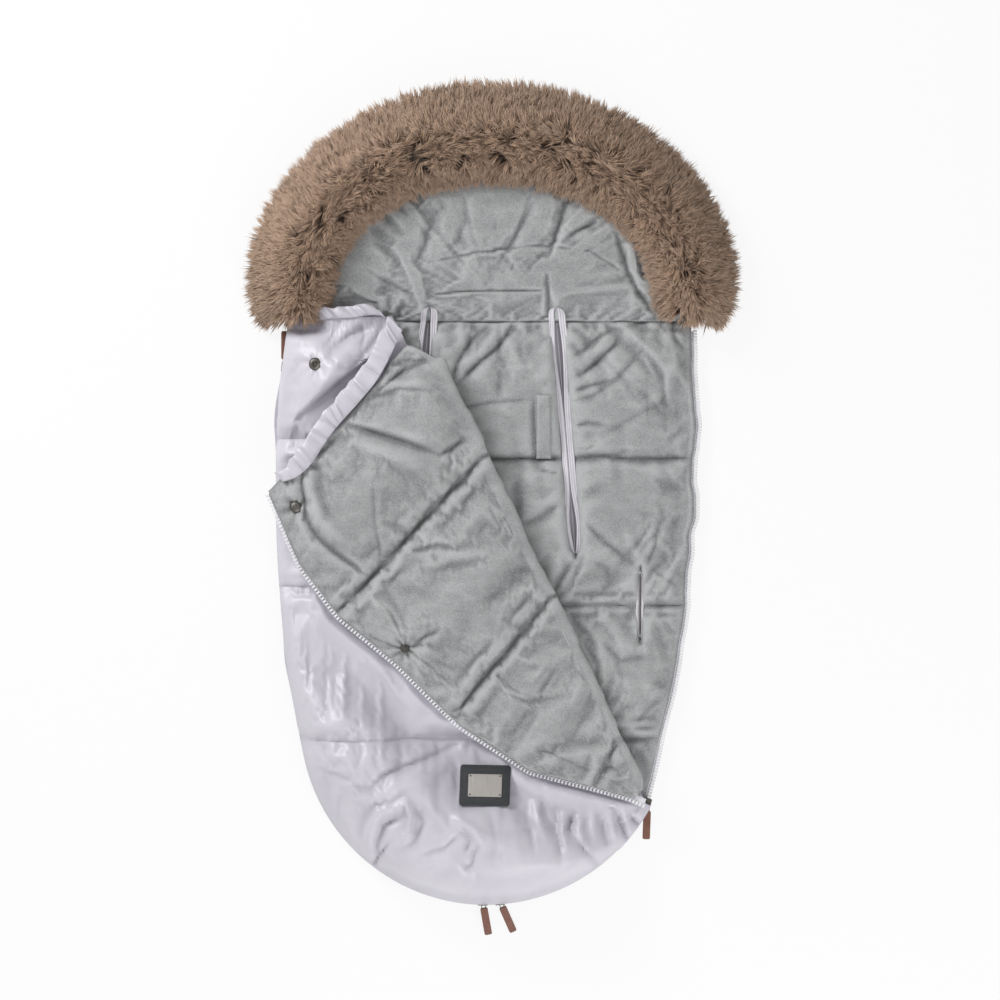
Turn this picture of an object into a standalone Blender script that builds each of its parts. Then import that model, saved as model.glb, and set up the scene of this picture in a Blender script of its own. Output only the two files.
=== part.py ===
"""Stroller footmuff, laid open on its back: metres, +Z up, +Y towards the hood.

The back panel, the front cover with its folded-back flap, the hood with its fur trim, the zips with
their sliders and pulls, the press studs and the badge are separate solids. Run it in Blender.
"""

import math

import bmesh
import bpy
from mathutils import Matrix, Vector
from mathutils.bvhtree import BVHTree

COLLECTION = "stroller_footmuff"
CUTTERS = "cutters"

# Cloth, wadding and clearances
GAP = 0.0003
MERGE = 0.00001
OVERRUN = 0.004
SHELL_CLOTH = 0.0016
PLUSH = 0.0026
EDGE_WADDING = 0.0025
COVER_EDGE_WADDING = 0.0140
EDGE_ROLL = 0.045

# Outline of the body, seen from above
FOOT_X = -0.0075
FOOT_Y = -0.2398
FOOT_RADIUS = 0.2139
LEFT_JOIN_DEG = 191.5
RIGHT_JOIN_DEG = 330.8
CORNER_DEG = 45.0
HOOD_SEAM_Y = 0.2156
LEFT_TOP_X = -0.2350
RIGHT_TOP_X = 0.2352
LEFT_BOW = 0.0219
RIGHT_BOW = 0.0247
PANEL_INSET = 0.008
EDGE_FLAT = 0.0055
SAG_END_Y = -0.300

# Back panel: sewn channels across the plush
BACK_SEAMS_Y = (-0.2605, -0.1098, 0.0592)
BACK_SEAM_WADDING = 0.0060
BACK_CROWN_WADDING = 0.0120
BACK_FOOT_WADDING = 0.0085

# Front cover that stays in place, and the crease that the flap turns on
CREASE_LOW = Vector((0.1765, -0.3387, 0.0290))
CREASE_TOP = Vector((-0.0696, 0.1800, 0.0520))
COVER_TOP_Y = 0.1905
COVER_TOP_X = -0.0960
COVER_WADDING = 0.0055
COVER_SIDE_DROP = 0.0030
FOOT_RISE = 0.0520
FOOT_RISE_RUN = 0.0700
FOOT_RISE_START = 0.0180
CORNER_CLOTH_Z = 0.0360

# Zip line of the folded-back flap: the outer edge of its teeth
ZIP_LINE = (
    (-0.2639, 0.0224), (-0.2490, -0.0293), (-0.2168, -0.0742), (-0.1892, -0.1144), (-0.1604, -0.1420),
    (-0.1271, -0.1639), (-0.1018, -0.1961), (-0.0696, -0.2237), (-0.0420, -0.2513), (0.0052, -0.2777),
    (0.0293, -0.2984), (0.0742, -0.3203), (0.1328, -0.3329), (0.1700, -0.3380),
)
FLAP_ZIP_ENDS = (
    (0.1575, -0.3352), (0.1156, -0.3237), (0.0397, -0.3042), (-0.0431, -0.2501), (-0.1121, -0.1811),
    (-0.1800, -0.1259), (-0.2248, -0.0661), (-0.2605, 0.0167),
)
FLAP_CREASE_SHARES = (0.030, 0.149, 0.297, 0.437, 0.597, 0.752, 0.878, 0.985)
FLAP_CROWN_SHARES = (0.0, 0.05, 0.75, 0.05, 1.0, 0.05, 0.8, 0.1)
FLAP_CROWN_WADDING = 0.0170
FLAP_REACH = 0.0200
FLAP_REACH_RUN = 0.0600
SEAT_REACH = 0.0050
FLAP_ZIP_MARGIN = 0.0105

# Zips
TAPE_THICK = 0.0012
TEETH_THICK = 0.0030
TEETH_OUT = 0.0010
TEETH_WIDE = 0.0042
TAPE_IN = 0.0120
ARC_STEP_DEG = 4.0
SLIDER_LONG = 0.0110
SLIDER_INNER = 0.0074
SLIDER_OUTER = 0.0010
SLIDER_PLATE = 0.0015
SLIDER_PLAY = 0.0005
BRIDGE_RISE = 0.0043
BRIDGE_WIDE = 0.0024
BRIDGE_ACROSS = 0.0040
BRIDGE_ALONG = 0.0053
BRIDGE_BAR = 0.0012
PIVOT_RISE = 0.0019
PIVOT_PLAY = 0.0003
LINK_BAR = 0.0012
LINK_LONG = 0.0092
LINK_WIDE = 0.0056
PULL_LONG = 0.0326
PULL_WIDE = 0.0086
PULL_THICK = 0.0030
PULL_LAP = 0.0030
PULL_CORNER = 0.0020
LEFT_SLIDER_Y = 0.1640
LEFT_PULL_HEADING = 90.0
SIDE_PULL_HEADING = 268.0
FOOT_SLIDER_DEGS = (269.0, 274.4)
FOOT_PULL_HEADINGS = (279.8, 293.5)
CHAIN_TOP_Y = 0.2050
CHAIN_BREAK_DEG = 0.3
PULL_DIP_DEG = 16.0
LEFT_PULL_DIP_DEG = 0.0
SIDE_PULL_DIP_DEG = 3.5

# Slots for the harness and the waist strap
HARNESS_TOP = Vector((0.0747, 0.2030))
HARNESS_FOOT = Vector((0.0949, -0.0460))
HARNESS_OUTER = 0.0085
HARNESS_INNER = 0.0050
WAIST_X = 0.1693
WAIST_Y = (-0.1450, -0.0725)
WAIST_OUTER = 0.0045
WAIST_INNER = 0.0026
BINDING_PLAY = 0.0004
BINDING_TOP = 0.0140
SLOT_TURNS = 8

# Hook-and-loop patch beside the right harness slot
PATCH_X = (0.0500, 0.0665)
PATCH_Y = (0.0640, 0.1294)
PATCH_THICK = 0.0016

# Hood and fur
HOOD_X = 0.0006
HOOD_Y = 0.2524
HOOD_A = 0.2320
HOOD_B = 0.1990
HOOD_CROWN_WADDING = 0.0085
HINGE_PLAY = 0.0006
HOOD_HINGE_Z = 0.0175
FUR_X = 0.0
FUR_Y = 0.2501
FUR_A = HOOD_A + 0.0015
FUR_B = HOOD_B - 0.0150
FUR_HALF_TOP = 0.0550
FUR_HALF_SIDE = 0.0460
FUR_FLOOR = 0.0015
FUR_START_DEG = -8.0
FUR_EDGE = 0.0060
FUR_DOME = 0.0400
FUR_END_RUN = 0.0550
FUR_END_SHARE = 0.62
FUR_STEPS = 26
FUR_BAND_HALF = 0.0120
FUR_BAND_THICK = 0.0014
ELASTIC_THICK = 0.0012
ELASTIC_SHARES = (0.34, 0.66)

# Gathered hems
HEM_WIDE = 0.0254
HEM_THICK = 0.0052
HEM_GATHER = 0.0012
HEM_GATHERS = 12
HEM_GROOVE_SHARES = (0.30, 0.70)
HEM_GROOVE = 0.0018
COVER_HEM_TOP_Y = 0.2135
COVER_HEM_X = (-0.2150, -0.1000)

# Badge and press studs
BADGE_X = -0.0085
BADGE_Y = -0.3145
BADGE_SIZE = (0.0575, 0.0475, 0.0026)
BADGE_PLATE = (0.0380, 0.0250, 0.0010)
BADGE_CORNER = 0.0030
RIVET_RADIUS = 0.0010
RIVET_RISE = 0.0006
RIVET_INSET = 0.0026
STUD_SOCKET = (-0.2018, 0.1660)
STUD_CAP = (-0.2240, 0.0030)
STUD_POST = (-0.0995, -0.1581)
STUD_RADIUS = 0.0064
STUD_RISE = 0.0026
STUD_RIM_SHARE = 0.45
STUD_SHOULDER_SHARE = 0.7
STUD_SIDES = 20


def mix(a, b, share):
    """The value at a share of the way from a to b."""
    return a + (b - a) * share


def clamp(value):
    """The value held between nothing and the whole."""
    return max(0.0, min(1.0, value))


def smooth(share):
    """A share eased at both ends."""
    share = clamp(share)
    return share * share * (3 - 2 * share)


def swell(share):
    """A share that rises like the side of a pillow."""
    share = clamp(share)
    return math.sqrt(1 - (1 - share) ** 2)


def on_circle(centre, radius, degrees):
    """The point of a circle at an angle."""
    angle = math.radians(degrees)
    return Vector((centre.x + radius * math.cos(angle), centre.y + radius * math.sin(angle)))


def bowed_circle(low, top, bow, side):
    """Centre and radius of the circle through two points that bows out by a given amount."""
    chord = top - low
    radius = chord.length_squared / (8 * bow) + bow / 2
    outward = Vector((chord.y, -chord.x)).normalized() * side
    return (low + top) / 2 - outward * (radius - bow), radius


FOOT_CENTRE = Vector((FOOT_X, FOOT_Y))
LEFT_LOW = on_circle(FOOT_CENTRE, FOOT_RADIUS, LEFT_JOIN_DEG)
RIGHT_LOW = on_circle(FOOT_CENTRE, FOOT_RADIUS, RIGHT_JOIN_DEG)
LEFT_TOP = Vector((LEFT_TOP_X, HOOD_SEAM_Y))
RIGHT_TOP = Vector((RIGHT_TOP_X, HOOD_SEAM_Y))
LEFT_CENTRE, LEFT_RADIUS = bowed_circle(LEFT_LOW, LEFT_TOP, LEFT_BOW, -1)
RIGHT_CENTRE, RIGHT_RADIUS = bowed_circle(RIGHT_LOW, RIGHT_TOP, RIGHT_BOW, 1)

BACK_EDGE_Z = SHELL_CLOTH + EDGE_WADDING + PLUSH + 2 * GAP
TAPE_Z = BACK_EDGE_Z + GAP
TEETH_Z = TAPE_Z + TAPE_THICK / 2 - TEETH_THICK / 2
COVER_EDGE_LOW = TAPE_Z + TAPE_THICK + GAP
LAYERS = SHELL_CLOTH + PLUSH + 2 * GAP
COVER_EDGE_TOP = COVER_EDGE_LOW + LAYERS + COVER_EDGE_WADDING


def foot_x(y, inset, side):
    """Where the foot circle lies at a height y, on one side."""
    reach = (FOOT_RADIUS - inset) ** 2 - (y - FOOT_Y) ** 2
    return FOOT_X + side * math.sqrt(max(0.0, reach))


def left_x(y, inset):
    """The body's left edge at y."""
    if y < LEFT_LOW.y:
        return foot_x(y, inset, -1)
    reach = (LEFT_RADIUS - inset) ** 2 - (y - LEFT_CENTRE.y) ** 2
    return LEFT_CENTRE.x - math.sqrt(reach)


def right_x(y, inset):
    """The body's right edge at y."""
    if y < RIGHT_LOW.y:
        return foot_x(y, inset, 1)
    reach = (RIGHT_RADIUS - inset) ** 2 - (y - RIGHT_CENTRE.y) ** 2
    return RIGHT_CENTRE.x + math.sqrt(reach)


def crease_point(share):
    """A point of the crease, in space."""
    return CREASE_LOW.lerp(CREASE_TOP, share)


def crease_z(y):
    """The crease's height at y, level below its low end."""
    share = clamp((y - CREASE_LOW.y) / (CREASE_TOP.y - CREASE_LOW.y))
    return mix(CREASE_LOW.z, CREASE_TOP.z, share)


def cover_right_x(y, inset):
    """The right edge of the cover that stays in place: the foot circle, then the crease, then its top."""
    if y < CREASE_LOW.y:
        return right_x(y, inset)
    if y < CREASE_TOP.y:
        share = (y - CREASE_LOW.y) / (CREASE_TOP.y - CREASE_LOW.y)
        return min(mix(CREASE_LOW.x, CREASE_TOP.x, share), right_x(y, inset))
    share = (y - CREASE_TOP.y) / (COVER_TOP_Y - CREASE_TOP.y)
    return mix(CREASE_TOP.x, COVER_TOP_X, share)


def corner_y(inset):
    """Height of the foot circle's corner points, where a panel's lowest row starts and ends."""
    return FOOT_Y - (FOOT_RADIUS - inset) * math.sin(math.radians(CORNER_DEG))


def body_point(u, y, right_edge):
    """A point of a body panel at a share across it; shares outside 0 to 1 lie on the panel's very edge."""
    inner = PANEL_INSET + EDGE_FLAT
    side = inner if 0 <= u <= 1 else PANEL_INSET
    x = mix(left_x(y, side), right_edge(y, side), clamp(u))
    ring = PANEL_INSET if y < corner_y(inner) else inner
    radius = FOOT_RADIUS - ring
    start = corner_y(ring)
    arc = FOOT_Y - math.sqrt(max(0.0, radius ** 2 - (x - FOOT_X) ** 2))
    fade = clamp((SAG_END_Y - y) / (SAG_END_Y - start))
    return x, y - fade * max(0.0, start - arc)


def foot_rows(first_seam, shares):
    """The lowest rows of a body panel: its edge, the end of its flat margin, and shares of the way up."""
    flat = corner_y(PANEL_INSET + EDGE_FLAT)
    return [corner_y(PANEL_INSET), flat] + [mix(flat, first_seam, share) for share in shares]


def edge_distance(x, y):
    """How far a point lies inside the body's outline."""
    point = Vector((x, y))
    foot = FOOT_RADIUS - (point - FOOT_CENTRE).length
    left = LEFT_RADIUS - (point - LEFT_CENTRE).length if y >= LEFT_LOW.y else foot
    right = RIGHT_RADIUS - (point - RIGHT_CENTRE).length if y >= RIGHT_LOW.y else foot
    return min(left, right)


def left_distance(x, y):
    """How far a point lies inside the outline's left side and foot arc."""
    point = Vector((x, y))
    if y < LEFT_LOW.y:
        foot = FOOT_RADIUS - (point - FOOT_CENTRE).length
        return foot + EDGE_ROLL * smooth((y - CREASE_LOW.y) / EDGE_ROLL) * clamp((x - FOOT_X) / EDGE_ROLL)
    return LEFT_RADIUS - (point - LEFT_CENTRE).length


def edge_rise(distance):
    """How far a panel has risen from its flat edge to its full height, at a distance inside the outline."""
    return swell((distance - PANEL_INSET - EDGE_FLAT) / EDGE_ROLL)


def channel_share(y, seams):
    """Nothing on a sewn seam, the whole halfway between two seams."""
    for low, high in zip(seams, seams[1:]):
        if low <= y <= high:
            share = (y - low) / (high - low)
            return swell(4 * share * (1 - share))
    return 0.0


def back_wadding(x, y):
    """Thickness of the back panel's wadding."""
    seams = (FOOT_Y - FOOT_RADIUS, *BACK_SEAMS_Y, HOOD_SEAM_Y)
    crown = BACK_FOOT_WADDING if y < BACK_SEAMS_Y[0] else BACK_CROWN_WADDING
    full = mix(BACK_SEAM_WADDING, crown, channel_share(y, seams))
    return mix(EDGE_WADDING, full, edge_rise(edge_distance(x, y)))


def back_wadding_top(x, y):
    """Height of the top of the back panel's wadding."""
    return SHELL_CLOTH + GAP + back_wadding(x, y)


def back_top(x, y):
    """Height of the back panel's plush."""
    return back_wadding_top(x, y) + GAP + PLUSH


def zip_y(x):
    """Where the flap's zip line lies at x."""
    points = ZIP_LINE
    if x <= points[0][0]:
        return points[0][1]
    for low, high in zip(points, points[1:]):
        if x <= high[0]:
            return mix(low[1], high[1], (x - low[0]) / (high[0] - low[0]))
    return points[-1][1]


def below_zip(x, y):
    """How far a point lies beyond the flap's zip line, towards the foot."""
    step = FLAP_REACH
    slope = (zip_y(x + step) - zip_y(x - step)) / (2 * step)
    return (zip_y(x) - y) / math.hypot(1.0, slope)


def foot_share(x, y):
    """How much of the foot end's rise a point has, beyond the zip line."""
    return smooth((below_zip(x, y) - FOOT_RISE_START) / FOOT_RISE_RUN)


def cover_inner(x, y):
    """Height of the cover's outer cloth away from its sides."""
    y_held = max(y, CREASE_LOW.y)
    across = clamp((x - left_x(y_held, 0)) / (cover_right_x(y_held, 0) - left_x(y_held, 0)))
    plane = crease_z(y) - COVER_SIDE_DROP * (1 - across) * clamp((y - CREASE_LOW.y) / EDGE_ROLL)
    return plane + FOOT_RISE * foot_share(x, y)


def cover_top(x, y):
    """Height of the cover's outer cloth."""
    rise = edge_rise(left_distance(x, y))
    inner = cover_inner(x, y)
    ease = smooth((HOOD_SEAM_Y - y) / EDGE_ROLL)
    inner = mix(min(inner, CORNER_CLOTH_Z), inner, ease)
    return mix(COVER_EDGE_TOP, inner, rise)


def cover_wadding(x, y):
    """Thickness of the cover's wadding."""
    rise = edge_rise(left_distance(x, y))
    low = clamp((crease_z(y) - CREASE_LOW.z) / (CREASE_TOP.z - CREASE_LOW.z))
    full = mix(EDGE_WADDING, COVER_WADDING, max(low, foot_share(x, y)))
    return mix(COVER_EDGE_WADDING, full, rise)


def material(name, colour, roughness, metallic):
    """A plain finish for one piece."""
    made = bpy.data.materials.new(name)
    made.use_nodes = True
    shader = made.node_tree.nodes["Principled BSDF"]
    shader.inputs["Base Color"].default_value = (*colour, 1.0)
    shader.inputs["Roughness"].default_value = roughness
    shader.inputs["Metallic"].default_value = metallic
    return made


FINISHES = {
    "shell": ((0.62, 0.60, 0.66), 0.45, 0.0),
    "plush": ((0.36, 0.38, 0.38), 0.95, 0.0),
    "wadding": ((0.85, 0.85, 0.85), 1.0, 0.0),
    "binding": ((0.66, 0.63, 0.70), 0.5, 0.0),
    "stitching": ((0.80, 0.77, 0.76), 0.8, 0.0),
    "tape": ((0.72, 0.71, 0.75), 0.8, 0.0),
    "teeth": ((0.82, 0.82, 0.84), 0.35, 0.0),
    "metal": ((0.30, 0.28, 0.26), 0.35, 1.0),
    "plate": ((0.60, 0.57, 0.55), 0.3, 1.0),
    "leather": ((0.20, 0.09, 0.06), 0.6, 0.0),
    "leatherette": ((0.02, 0.02, 0.022), 0.5, 0.0),
    "fur": ((0.36, 0.24, 0.17), 0.9, 0.0),
    "elastic": ((0.80, 0.80, 0.80), 0.7, 0.0),
}


def add_object(name, mesh, finish, smooth_deg=35.0):
    """Puts a mesh in the object's collection under its own name, with its own finish."""
    piece = bpy.data.objects.new(name, mesh)
    bpy.data.collections[COLLECTION].objects.link(piece)
    mesh.materials.clear()
    mesh.materials.append(material(name, *FINISHES[finish]))
    mesh.shade_smooth()
    mesh.set_sharp_from_angle(angle=math.radians(smooth_deg))
    return piece


def sheet_solid(name, finish, us, vs, place, low, high):
    """A closed padded sheet: a grid laid out by place(u, v), between the heights low and high."""
    across, along = len(us) - 1, len(vs) - 1
    body = bmesh.new()
    bmesh.ops.create_grid(body, x_segments=across, y_segments=along, size=0.5)
    bmesh.ops.triangulate(body, faces=body.faces[:], quad_method="FIXED")
    raised = bmesh.ops.extrude_face_region(body, geom=body.faces[:])["geom"]
    top = {item for item in raised if isinstance(item, bmesh.types.BMVert)}
    for vertex in body.verts:
        u = us[round((vertex.co.x + 0.5) * across)]
        v = vs[round((vertex.co.y + 0.5) * along)]
        x, y = place(u, v)
        height = high if vertex in top else low
        vertex.co = (x, y, height(x, y))
    bmesh.ops.recalc_face_normals(body, faces=body.faces[:])
    mesh = bpy.data.meshes.new(name)
    body.to_mesh(mesh)
    body.free()
    return add_object(name, mesh, finish)


def flat_mesh(name, loops, low, high):
    """A mesh of a flat outline, with holes where there are further loops, from height low to high."""
    outline = bpy.data.curves.new(name, "CURVE")
    outline.dimensions = "2D"
    outline.fill_mode = "BOTH"
    outline.extrude = (high - low) / 2
    for loop in loops:
        spline = outline.splines.new("POLY")
        spline.points.add(len(loop) - 1)
        for point, place in zip(spline.points, loop):
            point.co = (place[0], place[1], 0.0, 1.0)
        spline.use_cyclic_u = True
    holder = bpy.data.objects.new(name + "_outline", outline)
    bpy.data.collections[COLLECTION].objects.link(holder)
    graph = bpy.context.evaluated_depsgraph_get()
    mesh = bpy.data.meshes.new_from_object(holder.evaluated_get(graph))
    bpy.data.objects.remove(holder)
    bpy.data.curves.remove(outline)
    body = bmesh.new()
    body.from_mesh(mesh)
    bmesh.ops.remove_doubles(body, verts=body.verts[:], dist=MERGE)
    bmesh.ops.translate(body, verts=body.verts[:], vec=(0.0, 0.0, (low + high) / 2))
    bmesh.ops.recalc_face_normals(body, faces=body.faces[:])
    body.to_mesh(mesh)
    body.free()
    mesh.name = name
    return mesh


def flat_solid(name, finish, loops, low, high):
    """A flat piece, as an object of its own."""
    return add_object(name, flat_mesh(name, loops, low, high), finish)


def cut(piece, cutter_mesh, matrix=None, operation="DIFFERENCE"):
    """Cuts a hidden cutter out of a piece, or joins it on."""
    cutter = bpy.data.objects.new(cutter_mesh.name, cutter_mesh)
    bpy.data.collections[CUTTERS].objects.link(cutter)
    if matrix is not None:
        cutter.matrix_world = matrix
    cutter.hide_render = True
    cutter.display_type = "WIRE"
    change = piece.modifiers.new(cutter_mesh.name, "BOOLEAN")
    change.operation = operation
    change.solver = "EXACT"
    change.object = cutter
    return cutter


def box_mesh(name, low, high):
    """A box between two corners."""
    body = bmesh.new()
    bmesh.ops.create_cube(body, size=1.0)
    for vertex in body.verts:
        vertex.co = Vector(mix(low[i], high[i], vertex.co[i] + 0.5) for i in range(3))
    mesh = bpy.data.meshes.new(name)
    body.to_mesh(mesh)
    body.free()
    return mesh


def stadium(first, last, half, turns):
    """The outline of a slot with round ends between two points."""
    along = (last - first).normalized()
    heading = math.degrees(math.atan2(along.y, along.x))
    points = []
    for centre, start in ((last, heading - 90), (first, heading + 90)):
        for step in range(turns + 1):
            points.append(on_circle(centre, half, start + 180 * step / turns))
    return points


def rounded_box(size_x, size_y, corner, turns=4):
    """The outline of a rectangle with round corners, centred on its origin."""
    points = []
    for index, (side_x, side_y) in enumerate(((1, 1), (-1, 1), (-1, -1), (1, -1))):
        centre = Vector((side_x * (size_x / 2 - corner), side_y * (size_y / 2 - corner)))
        for step in range(turns + 1):
            points.append(on_circle(centre, corner, 90 * index + 90 * step / turns))
    return points


def arc_points(centre, radius, start, end):
    """Points along an arc, evenly stepped."""
    steps = max(2, round(abs(end - start) / 360 * 2 * math.pi * radius / (FOOT_RADIUS * math.radians(ARC_STEP_DEG))))
    return [on_circle(centre, radius, mix(start, end, step / steps)) for step in range(steps + 1)]


def arc_band(name, finish, circle, span, insets, low, high):
    """A flat band that follows an arc, between two distances inside it."""
    centre, radius = circle
    outer = arc_points(centre, radius - insets[0], *span)
    inner = arc_points(centre, radius - insets[1], *span)
    return flat_solid(name, finish, [outer + inner[::-1]], low, high)


def angle_on(centre, point):
    """The angle of a point seen from a centre, from 0 to 360 degrees."""
    away = point - centre
    return math.degrees(math.atan2(away.y, away.x)) % 360


def surface_frame(height, x, y, lift):
    """A placement whose Z is the surface's normal at x, y, raised off it."""
    step = STUD_RADIUS
    slope_x = (height(x + step, y) - height(x - step, y)) / (2 * step)
    slope_y = (height(x, y + step) - height(x, y - step)) / (2 * step)
    normal = Vector((-slope_x, -slope_y, 1.0)).normalized()
    turn = Vector((0.0, 0.0, 1.0)).rotation_difference(normal).to_matrix().to_4x4()
    return Matrix.Translation(Vector((x, y, height(x, y))) + normal * lift) @ turn


def slot_mirror(points):
    """The same outline on the other side of the body."""
    return [Vector((-point[0], point[1])) for point in points][::-1]


def slot_outlines(half_harness, half_waist):
    """The outlines of the four slots at the given half widths."""
    harness = stadium(HARNESS_TOP, HARNESS_FOOT, half_harness, SLOT_TURNS)
    waist = stadium(Vector((WAIST_X, WAIST_Y[1])), Vector((WAIST_X, WAIST_Y[0])), half_waist, SLOT_TURNS)
    return {"harness_right": harness, "harness_left": slot_mirror(harness),
            "waist_right": waist, "waist_left": slot_mirror(waist)}


def body_outline(inset):
    """The body's outline from the hood seam round the foot and back, at a distance inside it."""
    left = arc_points(LEFT_CENTRE, LEFT_RADIUS - inset, angle_on(LEFT_CENTRE, LEFT_TOP),
                      angle_on(LEFT_CENTRE, LEFT_LOW))
    foot = arc_points(FOOT_CENTRE, FOOT_RADIUS - inset, LEFT_JOIN_DEG, RIGHT_JOIN_DEG)
    right_end = angle_on(RIGHT_CENTRE, RIGHT_TOP)
    right_start = angle_on(RIGHT_CENTRE, RIGHT_LOW) - 360
    right = arc_points(RIGHT_CENTRE, RIGHT_RADIUS - inset, right_start, right_end)
    joined = left + foot[1:-1] + right
    joined[0].y = HOOD_SEAM_Y
    joined[-1].y = HOOD_SEAM_Y
    return joined


def build_back():
    """The back panel: flat outer cloth, crowned wadding and plush, all cut through by the four slots."""
    outer = slot_outlines(HARNESS_OUTER + BINDING_PLAY, WAIST_OUTER + BINDING_PLAY)
    shell = flat_solid("back_shell", "shell", [body_outline(PANEL_INSET)], 0.0, SHELL_CLOTH)
    for slot, loop in outer.items():
        cut(shell, flat_mesh(f"back_shell_{slot}_cut", [loop], -OVERRUN, SHELL_CLOTH + OVERRUN))
    rows = foot_rows(BACK_SEAMS_Y[0], (0.35, 0.70))
    seams = (*BACK_SEAMS_Y, HOOD_SEAM_Y)
    for low, high in zip(seams, seams[1:]):
        rows += [mix(low, high, share) for share in (0.0, 0.14, 0.5, 0.86)]
    rows.append(HOOD_SEAM_Y)
    columns = (-1.0, 0.0, 0.055, 0.17, 0.33, 0.5, 0.67, 0.83, 0.945, 1.0, 2.0)

    def place(u, y):
        return body_point(u, y, right_x)

    layers = (
        ("back_padding", "wadding", lambda x, y: SHELL_CLOTH + GAP, back_wadding_top),
        ("back_lining", "plush", lambda x, y: back_wadding_top(x, y) + GAP, back_top),
    )
    for name, finish, low, high in layers:
        panel = sheet_solid(name, finish, columns, rows, place, low, high)
        for slot, loop in outer.items():
            cut(panel, flat_mesh(f"{name}_{slot}_cut", [loop], -OVERRUN, BINDING_TOP + 2 * OVERRUN))


def build_bindings():
    """The cloth bindings that line the slots from face to face."""
    outer = slot_outlines(HARNESS_OUTER, WAIST_OUTER)
    inner = slot_outlines(HARNESS_INNER, WAIST_INNER)
    for slot, finish in (("harness_left", "binding"), ("harness_right", "binding"),
                         ("waist_left", "stitching"), ("waist_right", "stitching")):
        kind, side = slot.split("_")
        flat_solid(f"{kind}_binding_{side}", finish, [outer[slot], inner[slot]], GAP, BINDING_TOP)


class Surface:
    """The top of the pieces built so far, seen from above."""

    def __init__(self, *names):
        self.trees = []
        for name in names:
            body = bmesh.new()
            body.from_mesh(bpy.data.objects[name].data)
            self.trees.append(BVHTree.FromBMesh(body))
            body.free()

    def height(self, x, y):
        """The highest point under x, y, or nothing."""
        best = 0.0
        for tree in self.trees:
            hit = tree.ray_cast(Vector((x, y, 2 * FOOT_RADIUS)), Vector((0.0, 0.0, -1.0)))[0]
            if hit is not None:
                best = max(best, hit.z)
        return best

    def cleared(self, x, y, reach):
        """The highest point within a reach round x, y."""
        best = self.height(x, y)
        for ring in (0.5, 1.0):
            for step in range(8):
                spot = on_circle(Vector((x, y)), reach * ring, 45 * step)
                best = max(best, self.height(spot.x, spot.y))
        return best

    def seat(self, x, y, radius):
        """A placement whose Z is the surface's normal, raised clear of everything within a radius."""
        slope_x = (self.height(x + radius, y) - self.height(x - radius, y)) / (2 * radius)
        slope_y = (self.height(x, y + radius) - self.height(x, y - radius)) / (2 * radius)
        normal = Vector((-slope_x, -slope_y, 1.0)).normalized()
        base = Vector((x, y, self.height(x, y)))
        lift = 0.0
        for ring in (0.5, 1.0):
            for step in range(16):
                spot = on_circle(base.to_2d(), radius * ring, 360 * step / 16)
                rim = Vector((spot.x, spot.y, self.height(spot.x, spot.y)))
                lift = max(lift, (rim - base).dot(normal))
        turn = Vector((0.0, 0.0, 1.0)).rotation_difference(normal).to_matrix().to_4x4()
        return Matrix.Translation(base + normal * (lift + GAP)) @ turn


def build_patch():
    """The hook-and-loop patch sewn on the plush."""
    plush = Surface("back_lining")

    def place(u, v):
        return mix(*PATCH_X, u), mix(*PATCH_Y, v)

    def low(x, y):
        return plush.cleared(x, y, SEAT_REACH) + GAP

    sheet_solid("tongue_patch", "plush", (0.0, 0.5, 1.0), (0.0, 0.2, 0.4, 0.6, 0.8, 1.0), place, low,
                lambda x, y: low(x, y) + PATCH_THICK)


def build_cover():
    """The front cover that stays in place: outer cloth, wadding and lining over the foot and left side."""
    rows = foot_rows(CREASE_LOW.y, (0.5, 1.0))
    rows += [mix(CREASE_LOW.y, FOOT_Y, share) for share in (0.25, 0.5, 0.75, 1.0)]
    rows += [mix(FOOT_Y, CREASE_TOP.y, share) for share in (0.14, 0.28, 0.42, 0.56, 0.70, 0.85, 1.0)]
    rows.append(COVER_TOP_Y)
    columns = (-1.0, 0.0, 0.03, 0.08, 0.17, 0.28, 0.42, 0.56, 0.70, 0.82, 0.92, 0.97, 1.0, 2.0)

    def place(u, y):
        return body_point(u, y, cover_right_x)

    def shell_low(x, y):
        return cover_top(x, y) - SHELL_CLOTH

    def wadding_low(x, y):
        return shell_low(x, y) - GAP - cover_wadding(x, y)

    def lining_low(x, y):
        return wadding_low(x, y) - GAP - PLUSH

    sheet_solid("cover_shell", "shell", columns, rows, place, shell_low, cover_top)
    sheet_solid("cover_padding", "wadding", columns, rows, place, wadding_low,
                lambda x, y: shell_low(x, y) - GAP)
    sheet_solid("cover_lining", "plush", columns, rows, place, lining_low,
                lambda x, y: wadding_low(x, y) - GAP)


def flap_row(index):
    """Crease end and zip end of one row of the flap, short of the zip's tape and teeth."""
    crease = crease_point(FLAP_CREASE_SHARES[index]).to_2d()
    end = Vector(FLAP_ZIP_ENDS[index])
    span = crease - end
    margin = min(FLAP_ZIP_MARGIN, span.length / 2)
    return crease, end + span.normalized() * margin


def flap_place(u, v):
    """A point of the flap: across from the crease to the zip, and up from the low corner."""
    spot = v * (len(FLAP_ZIP_ENDS) - 1)
    index = min(int(spot), len(FLAP_ZIP_ENDS) - 2)
    share = spot - index
    low, high = flap_row(index), flap_row(index + 1)
    crease = low[0].lerp(high[0], share)
    end = low[1].lerp(high[1], share)
    point = crease.lerp(end, u)
    return point.x, point.y


def crease_distance(x, y):
    """How far a point lies from the crease, seen from above."""
    along = (CREASE_TOP - CREASE_LOW).to_2d().normalized()
    away = Vector((x, y)) - CREASE_LOW.to_2d()
    return abs(along.x * away.y - along.y * away.x)


FLAP_ROWS = 14
FLAP_COLUMNS = (0.0, 0.05, 0.14, 0.28, 0.46, 0.64, 0.80, 0.92, 1.0)


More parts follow.
